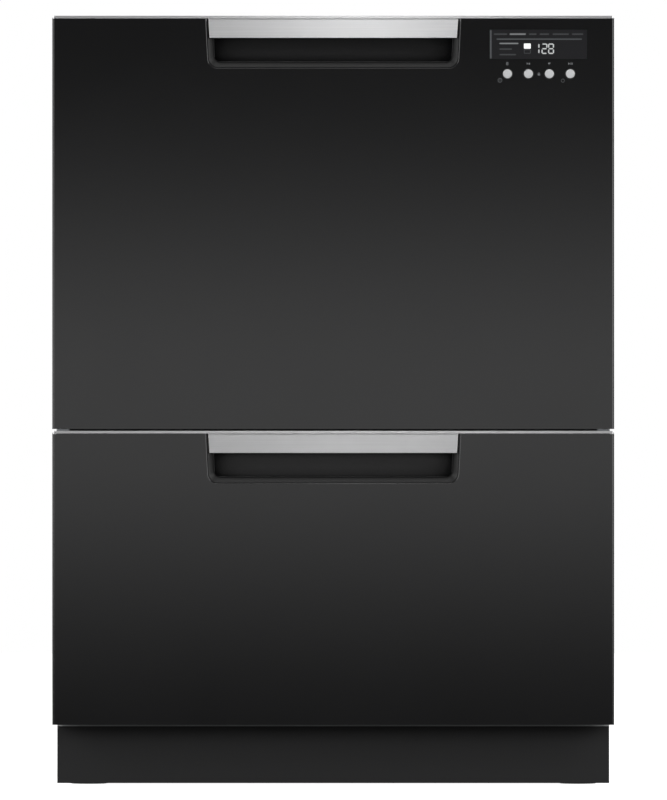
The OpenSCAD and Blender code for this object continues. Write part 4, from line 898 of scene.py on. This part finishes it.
for i in (1, 2, 3, 4):
    button_pieces("button_%d" % i)
glass_low, glass_high = (1000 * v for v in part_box("display_window"))
glass = inlay("display_glass", [plate(glass_low.x, glass_high.x, glass_low.z, glass_high.z, 1.3)],
              glass_high.y * MM, glass_high.y - glass_low.y, window_acrylic, "upper_drawer")
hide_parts("display_window")
print("caps are 9.7 mm wide, glass is", round(glass_high.x - glass_low.x, 1), "mm wide")

# %% [markdown]
# ## The lip on the kick strip
# The photograph shows a thin light line under the lower front, as wide as the kick strip, and
# no more of what makes it. It is drawn as a soft grey lip on the strip's top edge, which is a
# guess. Such a lip would be a thermoplastic elastomer, duller than the paint. Its pale grey is
# a painted highlight: it is set so that the lip shows as that light line in the shade.

# %% Kick strip lip
# The lip's pale grey is a painted highlight along the bottom of the lower front.
lip_painted_highlight = moulded("pale_lip_painted_highlight", "#aeafb0", 0.6, 0.6, 0.05, 0.00003)
kick_low, kick_high = (1000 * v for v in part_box("kick_strip"))
LIP_DEEP = 3.0
lip_face = plate(kick_low.x + 0.2, kick_high.x - 0.2, kick_high.z - 2.5, kick_high.z - 0.1, 0.8)
lip = inlay("kick_strip_lip_painted_highlight", [lip_face], kick_low.y * MM, LIP_DEEP, lip_painted_highlight, "cabinet")
print("the lip is", round(1000 * lip.dimensions.x, 1), "mm long and 2.4 mm high")

# %% [markdown]
# ## The rim of the finger pocket
# The edge of the pocket slopes inwards all round below the bar, and catches a soft light along
# the bottom. One section of the slope is carried along the outline of the pocket: the outline
# is drawn once for each point of the section, a little further in each time. The rim is the
# same black ABS as the pocket. It is a little rougher, and it is darker with its reflection set
# lower, a painted shade, only to match the photograph.

# %% Pocket rim
HALF_WIDE, LEAN, DEEP, CORNER = 135.5, 2.8 / 55.5, 55.5, 10
UNDER_BAR = 23.6
# Each point of the section: how far it is inside the outline, and how far behind the face.
SECTION = [(0.9, 0.1), (1.5, 0.4), (5.3, 4.0), (6.2, 4.9), (6.8, 5.9), (6.9, 6.9), (0.9, 0.9)]


def pocket_outline(inset, top):
    """Half the way round is worked out and then mirrored. z is in mm from the front's top."""
    r = CORNER - 0.55 * inset
    drop = DEEP - inset - r
    corner = arc(HALF_WIDE - LEAN * drop - inset - r, -drop, r, 0, -90, 8)
    right = [(HALF_WIDE - LEAN * top - inset, -top)] + corner
    return right + [(-x, z) for x, z in right[::-1]]


def pocket_rim(bay):
    top = 1000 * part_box(bay + "_handle_trim")[1].z
    face = 1000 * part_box(bay + "_front_skin")[0].y
    shape = bmesh.new()
    rings = [loop(shape, Matrix.Identity(4),
                  [(x, face + back, top + z) for x, z in pocket_outline(inset, UNDER_BAR)])
             for inset, back in SECTION]
    for one, two in zip(rings, rings[1:] + rings[:1]):
        for k in range(1, len(one)):
            shape.faces.new((one[k - 1], one[k], two[k], two[k - 1]))
    shape.faces.new([ring[0] for ring in rings])
    shape.faces.new([ring[-1] for ring in rings][::-1])
    return finished(bay + "_pocket_rim", shape, rim_abs_painted_shade, bay + "_drawer")


# Painted shade: a darker copy of the pocket's black ABS, with its reflection set lower.
rim_abs_painted_shade = moulded("black_abs_rim_with_painted_shade", "#090909", 0.42)
rim_abs_painted_shade.node_tree.nodes["Principled BSDF"].inputs["Specular IOR Level"].default_value = 0.3
# In the photograph the wall of the pocket is darker under the bar than these lamps leave it. The
# Ambient Occlusion node measures how much of the room a point sees within 120 mm, and dims the
# reflection by it. This is fitted to the photograph: it darkens the wall beyond what the light
# alone gives. The export drops a linked specular level, so the exported model lacks it.
pocket_abs = black_abs.copy()
pocket_abs.name = "shaded_black_abs_pocket"
tree = pocket_abs.node_tree
seen = add(tree, "ShaderNodeAmbientOcclusion", Distance=0.12, samples=8)
dimmed = add(tree, "ShaderNodeMapRange", [("Value", seen, "AO")],
             From_Min=0.27, From_Max=0.46, To_Min=0.02, To_Max=0.5)
tree.links.new(dimmed.outputs[0], tree.nodes["Principled BSDF"].inputs["Specular IOR Level"])
for bay in BAYS:
    paint(nodes[bay + "_handle_pocket"], pocket_abs)
rims = [pocket_rim(bay) for bay in BAYS]
print("a pocket rim is", round(1000 * rims[0].dimensions.x, 1), "mm wide")
